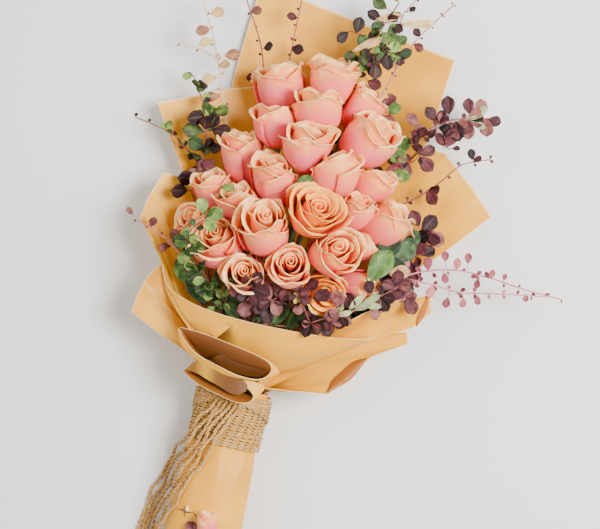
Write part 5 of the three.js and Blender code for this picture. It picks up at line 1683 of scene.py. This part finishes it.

# %% [markdown]
# More leaves fill the bunch between the roses and the paper. They are soft detail that the CAD model
# goes without: silvery ones and yellow florets in front, green ones low down and pale blades behind.
# The darkest green ones are real leaves made very dark as painted shade in the gaps there.

# %% Leaves that only the scene has
# Each is its skin, the places of its root and of its tip, and its half width as a share of its length.
EXTRA_LEAVES = {
    "front_purple_branch": [
        (silver_leaf, 100, 150, 114, 122, 160, 116, 0.16), (silver_leaf, 100, 150, 114, 112, 168, 118, 0.16),
        (silver_leaf, 88, 140, 118, 104, 148, 120, 0.16), (silver_leaf, 112, 158, 112, 130, 172, 113, 0.16),
        (silver_leaf, 112, 158, 112, 134, 160, 112, 0.16), (silver_leaf, 88, 140, 118, 92, 156, 121, 0.18),
        (floret_skin, 44, 150, 124, 49, 155, 126, 0.3), (floret_skin, 44, 150, 124, 40, 156, 126, 0.3),
        (floret_skin, 44, 150, 124, 37, 150, 126, 0.3), (floret_skin, 44, 150, 124, 42, 143, 125, 0.3),
        (floret_skin, 44, 150, 124, 50, 146, 125, 0.3),
    ],
    "right_dark_branch": [
        (rose_leaf, 113, 182, 112, 131, 222, 102, 0.27), (pale_leaf, 134, 196, 86, 156, 205, 92, 0.3),
        (dark_shade_leaf, 94, 137, 66, 120, 153, 70, 0.33), (dark_shade_leaf, 104, 148, 78, 132, 160, 84, 0.33),
        (dark_shade_leaf, 120, 156, 76, 146, 170, 80, 0.33), (dark_shade_leaf, 136, 172, 74, 166, 186, 78, 0.33),
        (purple_leaf, 138, 168, 82, 156, 184, 86, 0.36), (purple_leaf, 150, 172, 82, 170, 181, 85, 0.36),
        (purple_leaf, 142, 184, 84, 162, 193, 87, 0.36), (purple_leaf, 160, 176, 84, 172, 160, 87, 0.38),
        (purple_leaf, 124, 170, 103, 133, 154, 101, 0.38), (dark_shade_leaf, 116, 212, 84, 138, 238, 90, 0.33),
        (dark_shade_leaf, 132, 212, 82, 157, 233, 86, 0.33), (dark_shade_leaf, 140, 228, 78, 158, 248, 82, 0.34),
        (dark_shade_leaf, 126, 206, 84, 152, 207, 88, 0.34), (rose_leaf, 113, 229, 72, 139, 243, 76, 0.32),
        (purple_leaf, 112, 218, 70, 142, 223, 74, 0.33), (purple_leaf, 124, 185, 72, 149, 202, 76, 0.34),
        (rose_leaf, 123, 169, 74, 151, 183, 78, 0.3), (purple_leaf, 128, 208, 74, 157, 215, 78, 0.33),
        (purple_leaf, 141, 189, 72, 166, 186, 76, 0.36), (purple_leaf, 120, 156, 84, 142, 166, 87, 0.36),
    ],
    "right_purple_branch": [
        (rose_leaf, 110, 318, 50, 124, 333, 56, 0.36), (purple_leaf, 108, 308, 52, 126, 314, 58, 0.36),
        (purple_leaf, 101, 327, 48, 112, 344, 54, 0.36), (rose_leaf, 111, 332, 50, 126, 347, 58, 0.34),
        (purple_leaf, 89, 364, 40, 106, 360, 48, 0.38), (rose_leaf, 94, 371, 44, 108, 381, 50, 0.36),
        (purple_leaf, 87, 379, 42, 101, 390, 46, 0.38), (rose_leaf, 115, 307, 56, 135, 304, 60, 0.34),
        (silver_leaf, 181, 383, 58, 193, 394, 62, 0.22), (silver_leaf, 183, 381, 58, 201, 400, 62, 0.18),
        (silver_leaf, 186, 380, 58, 204, 377, 60, 0.2), (silver_leaf, 175, 377, 58, 190, 371, 60, 0.2),
    ],
    "top_right_branch": [
        (pale_leaf, 59, 466, 58, 87, 477, 60, 0.14), (pale_leaf, 87, 467, 58, 123, 476, 60, 0.12),
        (pale_leaf, 42, 426, 58, 71, 448, 62, 0.12), (rose_leaf, 52, 410, 46, 38, 424, 52, 0.36),
        (rose_leaf, 60, 416, 50, 76, 408, 54, 0.36), (rose_leaf, 58, 432, 56, 46, 446, 60, 0.34),
        (purple_leaf, 66, 400, 44, 82, 396, 48, 0.38), (rose_leaf, 72, 446, 58, 90, 452, 60, 0.34),
        (green_leaf, 70, 440, 58, 76, 455, 62, 0.36), (green_leaf, 78, 436, 58, 92, 445, 62, 0.36),
        (rose_leaf, 66, 426, 56, 74, 439, 60, 0.36), (green_leaf, 78, 424, 56, 92, 430, 60, 0.36),
        (dark_shade_leaf, 92, 434, 58, 106, 440, 62, 0.36), (rose_leaf, 58, 450, 58, 66, 464, 62, 0.34),
        (green_leaf, 76, 452, 58, 84, 466, 62, 0.34), (dark_shade_leaf, 50, 430, 56, 62, 440, 60, 0.38),
        (purple_leaf, 60, 414, 54, 70, 426, 58, 0.38), (green_leaf, 86, 444, 56, 97, 455, 60, 0.34),
    ],
    "left_dark_branch": [
        (rose_leaf, -92, 285, 50, -112, 292, 54, 0.36), (purple_leaf, -82, 275, 52, -94, 260, 56, 0.4),
        (green_leaf, -79, 299, 50, -62, 290, 56, 0.36), (green_leaf, -89, 319, 50, -100, 334, 54, 0.34),
        (purple_leaf, -92, 270, 56, -76, 268, 60, 0.4), (purple_leaf, -90, 262, 50, -104, 250, 52, 0.4),
    ],
    "front_brown_branch": [
        (rose_leaf, -8, 112, 84, -22, 142, 92, 0.28), (rose_leaf, 10, 112, 84, 8, 146, 90, 0.28),
        (rose_leaf, 22, 112, 86, 34, 144, 92, 0.28), (rose_leaf, 40, 114, 84, 60, 142, 90, 0.28),
        (rose_leaf, 60, 116, 82, 86, 140, 88, 0.28), (rose_leaf, 80, 122, 80, 108, 142, 84, 0.28),
        (rose_leaf, -22, 112, 84, -44, 136, 88, 0.28),
    ],
    "front_green_branch": [
        (green_leaf, 14, 262, 120, 32, 278, 123, 0.3), (green_leaf, -62, 236, 96, -50, 252, 102, 0.34),
        (rose_leaf, -50, 120, 84, -76, 146, 86, 0.28), (rose_leaf, -64, 136, 80, -94, 160, 82, 0.28),
    ],
}
print(sum(len(rows) for rows in EXTRA_LEAVES.values()), "leaves more")

# %% [markdown]
# No leaf may stand inside a rose, so a point that falls inside a head is lifted clear of it. The large
# leaves draw the same random numbers as in the CAD model, and so have the same size there and here.

# %% Clear of the roses


def seeded_random(seed):
    state = seed
    while True:
        state = (state * 1664525 + 1013904223) % 4294967296
        yield state / 4294967296


def lifted_clear(point, margin):
    clear = np.array(point, float)
    for _ in range(3):
        for rose in roses:
            offset = clear - rose["centre"]
            along = offset.dot(rose["axis"])
            aside = math.sqrt(max(offset.dot(offset) - along * along, 0))
            depth = math.hypot(along / (rose["tall"] / 2 + margin), aside / (rose["wide"] / 2 + margin))
            if depth < 1:
                clear[2] += (1 - depth) * (rose["wide"] / 2 + margin)
    return clear


def nearest_on(paths, point):
    best = paths[0][0]
    for path in paths:
        for start, end in zip(path[:-1], path[1:]):
            run = end - start
            share = np.clip((point - start).dot(run) / max(run.dot(run), 1e-9), 0, 1)
            spot = start + run * share
            if np.linalg.norm(spot - point) < np.linalg.norm(best - point):
                best = spot
    return best


print("the middle of rose 1 is lifted to", lifted_clear(ROSES[0][0], 0).round(1))

# %% [markdown]
# A leaf starts as a small grid: its outline widens towards a round tip, its two halves fold up from
# the midrib and its end droops a little.

# %% The shape of one leaf
LEAF_ROWS, LEAF_COLUMNS = 7, 5
LEAF_WIDE = 0.36
LEAF_LEAST = 0.012
LEAF_DROOP = 0.1


def leaf_points(root, tip, size, roll, draw, wide=LEAF_WIDE):
    ahead = unit(tip - root)
    side = unit(np.cross(ahead, [0, 0, 1.0]))
    face = np.cross(side, ahead)
    cos, sin = math.cos(math.radians(roll)), math.sin(math.radians(roll))
    side, face = cos * side + sin * face, cos * face - sin * side
    along = np.linspace(0, 1, LEAF_ROWS)[:, None]
    across = np.linspace(-1, 1, LEAF_COLUMNS)[None, :]
    half = wide * size * np.clip(np.sin(math.pi * along ** 1.35), 0, 1) ** 0.62 + LEAF_LEAST * size
    fold = 0.2 * np.abs(across) * half - 0.05 * size * np.sin(math.pi * along) + 0.04 * size * across ** 2
    droop = -LEAF_DROOP * size * draw.uniform(0.2, 1.6) * along ** 2
    start = tip - ahead * size
    return (start + (along * size)[..., None] * ahead + (across * half)[..., None] * side
            + (fold + droop)[..., None] * face)


print("a leaf has", LEAF_ROWS * LEAF_COLUMNS, "points")

# %% [markdown]
# Leaves and their stalks are gathered branch by branch. A side leaf turns off to the left or right of
# the twig, at a random angle. At the end all leaves of a branch become one piece with its twigs.

# %% Gathering leaves
LEAF_THICK = 0.35
STALK_RADIUS = 0.4
STALK_STEPS = 3


class Foliage:
    def __init__(self, name, skin, seed, twigs=()):
        self.name, self.skin = name, skin
        self.draw = np.random.default_rng(seed)
        self.lines, self.leaves = list(twigs), []

    def stalk(self, root, tip):
        self.lines.append(rod(spaced([root, tip], STALK_STEPS), STALK_RADIUS))

    def blade(self, points, skin, tones):
        leaf = shaped_grid(self.name, points)
        mark(leaf, tone=self.draw.uniform(*tones))
        leaf.data.materials.append(skin)
        self.leaves.append(leaf)

    def leaf(self, root, tip, size, roll):
        ahead = unit(tip - root)
        start = tip - ahead * size
        if np.linalg.norm(start - root) > 0.5:
            self.stalk(root, start + ahead * 1.0)
        self.blade(leaf_points(root, tip, size, roll, self.draw), self.skin, (0, 1))

    def side_leaf(self, root, ahead, size, roll=0):
        turn = math.radians(self.draw.choice([-1, 1]) * self.draw.uniform(45, 85))
        rise = self.draw.uniform(-0.1, 0.35)
        out = unit([ahead[0] * math.cos(turn) - ahead[1] * math.sin(turn),
                    ahead[0] * math.sin(turn) + ahead[1] * math.cos(turn), ahead[2] + rise])
        tip = lifted_clear(root + out * size * 1.15, 2)
        self.leaf(root, tip, size, roll + self.draw.uniform(-35, 35))

    def extra_leaf(self, held, skin, root, tip, wide):
        self.stalk(held, root + (tip - root) * 0.1)
        points = leaf_points(root, tip, np.linalg.norm(tip - root), 0, self.draw, wide)
        self.blade(points, skin, (0.3, 0.9))

    def piece(self, twigs_name, twigs_finish, slot):
        blades = thickened(joined(self.leaves, self.name + "_leaves"), LEAF_THICK)
        bpy.ops.object.shade_smooth()
        twigs = rods(self.name + twigs_name, self.lines, twigs_finish)
        return stands_for(joined([blades, twigs], self.name + "_foliage"), slot, self.name)


print("a leaf is", LEAF_THICK, "mm thick and its stalk", 2 * STALK_RADIUS, "mm")

# %% [markdown]
# A branch starts in the neck, between the stems and the paper. Its twigs run through the places of
# the table, lifted clear of the roses, and get thinner towards the tip.

# %% Twigs of a branch
TWIG_SLOT = (25, 16.3)
TWIG_FROM_Y = -10
TWIG_RADIUS, TWIG_TIP_RADIUS = 1.3, 0.75
SIDE_RADIUS, SIDE_TIP_RADIUS = 1.0, 0.6
TAPER_STEP = 3.0
MAIN_CLEAR, SIDE_CLEAR = 2.5, 2


def taper(path, start, end):
    fine = smooth_path(path, max(int(length_of(path) / TAPER_STEP), 4))
    return rod(fine, np.linspace(start, end, len(fine)))


def twig_paths(facts):
    angle = math.radians(facts["turn"])

    def slot(y):
        return (TWIG_SLOT[0] * math.cos(angle), y, NECK_HEIGHT + TWIG_SLOT[1] * math.sin(angle))

    through = facts["through"]
    main = smooth_path([slot(TWIG_FROM_Y), slot(MOUTH_Y), *through], len(through) + 2)
    paths = [np.array([lifted_clear(point, MAIN_CLEAR) for point in main])]
    for side in facts["sides"]:
        path = np.array([lifted_clear(point, SIDE_CLEAR) for point in smooth_path(side, len(side))])
        path[0] = nearest_on(paths[:1], path[0])
        paths.append(path)
    return paths


print("the main twig of left_twig is", round(length_of(twig_paths(BRANCHES["left_twig"])[0])), "mm long")

# %% [markdown]
# The large leaves stand at the places of the table, each on the nearest twig, with some side leaves
# beside them. Tufts of small leaves follow each other along the side twigs and the outer half of the
# main one, smaller towards the tip.

# %% Leaves of a branch
LEAF_CLEAR = 4
TUFT_SPACING = 16
TUFT_SHARES = (0.3, 0.42, 0.68)
TIP_SHRINKS = 0.35


def add_large_leaves(foliage, facts, paths):
    draw = seeded_random(facts["seed"])
    small = facts.get("small", {})
    for number, place in enumerate(facts["leaves"]):
        middle = lifted_clear(place, LEAF_CLEAR)
        root = nearest_on(paths, middle)
        reach = np.linalg.norm(middle - root)
        ahead = (middle - root) / reach
        size = facts["leaf"] * (0.85 + 0.3 * next(draw))
        tip = root + ahead * max(reach + size / 2, size)
        tip[2] += size * 0.3 * (next(draw) - 0.3)
        roll = 50 * (next(draw) - 0.5)
        if number in small:
            size *= small[number]
            tip = middle + ahead * size / 2
        foliage.leaf(root, tip, size, roll)
        for _ in range(foliage.draw.integers(0, 2 * facts["bushy"]) if facts["bushy"] else 0):
            foliage.side_leaf(root, ahead, size * foliage.draw.uniform(0.6, 0.9), roll)


def add_tufts(foliage, facts, paths):
    main, *sides = paths
    for number, path in enumerate((main[len(main) // 2:], *sides)):
        steps = max(int(length_of(path) / TUFT_SPACING), 1)
        spots = spaced(path, steps)
        tuft_share = TUFT_SHARES[0 if number in facts.get("bare", ()) else facts["bushy"]]
        for step, (spot, ahead) in enumerate(zip(spots, unit(np.gradient(spots, axis=0)))):
            for _ in range(foliage.draw.integers(1, 3)):
                share = tuft_share * foliage.draw.uniform(0.75, 1.25) * (1 - TIP_SHRINKS * step / steps)
                foliage.side_leaf(spot, ahead, facts["leaf"] * share)


print("tufts stand", TUFT_SPACING, "mm apart")

# %% [markdown]
# Each branch draws its random numbers from its own seed, so a change to one leaves the others alone.

# %% Making the branches


def branch_piece(name, facts):
    paths = twig_paths(facts)
    twigs = [taper(paths[0], TWIG_RADIUS, TWIG_TIP_RADIUS)]
    twigs += [taper(side, SIDE_RADIUS, SIDE_TIP_RADIUS) for side in paths[1:]]
    foliage = Foliage(name, facts["skin"], facts["seed"], twigs)
    add_large_leaves(foliage, facts, paths)
    add_tufts(foliage, facts, paths)
    for skin, *places, wide in EXTRA_LEAVES.get(name, []):
        root, tip = np.array(places, float).reshape(2, 3)
        foliage.extra_leaf(nearest_on(paths, root), skin, root, tip, wide)
    slot = "green_leaves" if name in GREEN_SLOT else "purple_leaves"
    return foliage.piece("_twigs", facts.get("twig", twig_skin), slot)


for name, facts in BRANCHES.items():
    piece = branch_piece(name, facts)
    print(piece.name, len(piece.data.polygons), "faces")

# %% [markdown]
# ## Handle sprig
# One small bud with dark leaves is tucked under the twine on the handle. It is made like the other
# heads and branches, and its stem hides under the strands.

# %% Small bud and its leaves
small_bud = {"number": 40, "centre": np.array([5, -117, 76.5]), "axis": direction_of(4, -14), "wide": 22,
             "tall": 33, "full": False}
small_bud["foot"] = small_bud["centre"] - small_bud["axis"] * small_bud["tall"] / 2
stands_for(rose_head(small_bud, "handle_bud_head"), "rose_petals", "handle_bud")
# The stem's points, by how far they lie behind the bud's foot and how far they drop.
SPRIG_STEM = [(46, 6.4), (24, 5), (8, 1.6), (3, 0), (-2, 0)]
SPRIG_STEPS = 24
# Each leaf is how far behind the foot it starts, its tip and its roll.
SPRIG_LEAVES = [(12, (-18, -117, 68.4), -10), (15, (-17, -133, 67.9), -15), (14, (28, -120, 69.9), 20),
                (24, (-10, -150, 69.2), -8), (26, (26, -148, 68.8), 10)]
SPRIG_LEAF = 18


def behind_bud(by, drop):
    return small_bud["foot"] - small_bud["axis"] * by + np.array([0, 0, -drop])


stem = np.array([behind_bud(by, drop) for by, drop in SPRIG_STEM])
radii = np.interp(np.linspace(0, 1, SPRIG_STEPS + 1), [0, 0.8, 1], [1.3, 1.6, 4])
sprig = Foliage("handle_sprig", purple_leaf, 5, [rod(smooth_path(stem, SPRIG_STEPS), radii)])
for start, tip, roll in SPRIG_LEAVES:
    sprig.leaf(nearest_on([stem], behind_bud(start, 2)), np.array(tip, float), SPRIG_LEAF, roll)
piece = sprig.piece("_stem", stem_skin, "purple_leaves")
print(piece.name, len(piece.data.polygons), "faces")

# %% [markdown]
# Inside the neck a tie holds the stems together. It never shows, so the CAD piece stays as it is and
# only gets the jute finish.

# %% Tie inside the neck
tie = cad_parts["inner_tie"]
tie.data.materials.clear()
tie.data.materials.append(jute)
print(tie.name, "has", len(tie.data.polygons), "faces")

# %% [markdown]
# ## Floor and light
# The bunch lies on a pale floor, as on a table in a small studio. The floor is only staging.

# %% Floor
floor_finish = plain_finish("studio_floor", 0.8, 400, "#D9D6D0", "#DFDCD7", detail=1.0)
bpy.ops.mesh.primitive_plane_add(size=30, location=(0, 0, -0.0005))
floor = bpy.context.object
floor.name = "floor"
floor.data.materials.append(floor_finish)
print(floor.name, "lies at", round(floor.location.z, 4))

# %% [markdown]
# Three large soft lights stand round the bunch. The strongest comes from the right, so the folds of
# the paper and the rolled rims of the petals throw soft shadows to the left.

# %% Lights
LIT_SPOT = (30, 200, 40)


def soft_light(name, place_mm, size, power):
    bpy.ops.object.light_add(type="AREA", location=in_frame(place_mm))
    light = bpy.context.object
    light.name = name
    light.data.size = size
    light.data.energy = power
    direction = light.location - type(light.location)(in_frame(LIT_SPOT))
    light.rotation_euler = direction.to_track_quat("Z", "Y").to_euler()


soft_light("key_light", (900, 500, 1500), 0.8, 86)
soft_light("fill_light", (-1100, 500, 1300), 1.4, 22)
soft_light("low_light", (0, -1200, 900), 1.2, 8)
world = bpy.data.worlds.new("soft_studio")
bpy.context.scene.world = world
world.use_nodes = True
world.node_tree.nodes["Background"].inputs[0].default_value = linear("#F2EFEA")
world.node_tree.nodes["Background"].inputs[1].default_value = 0.4
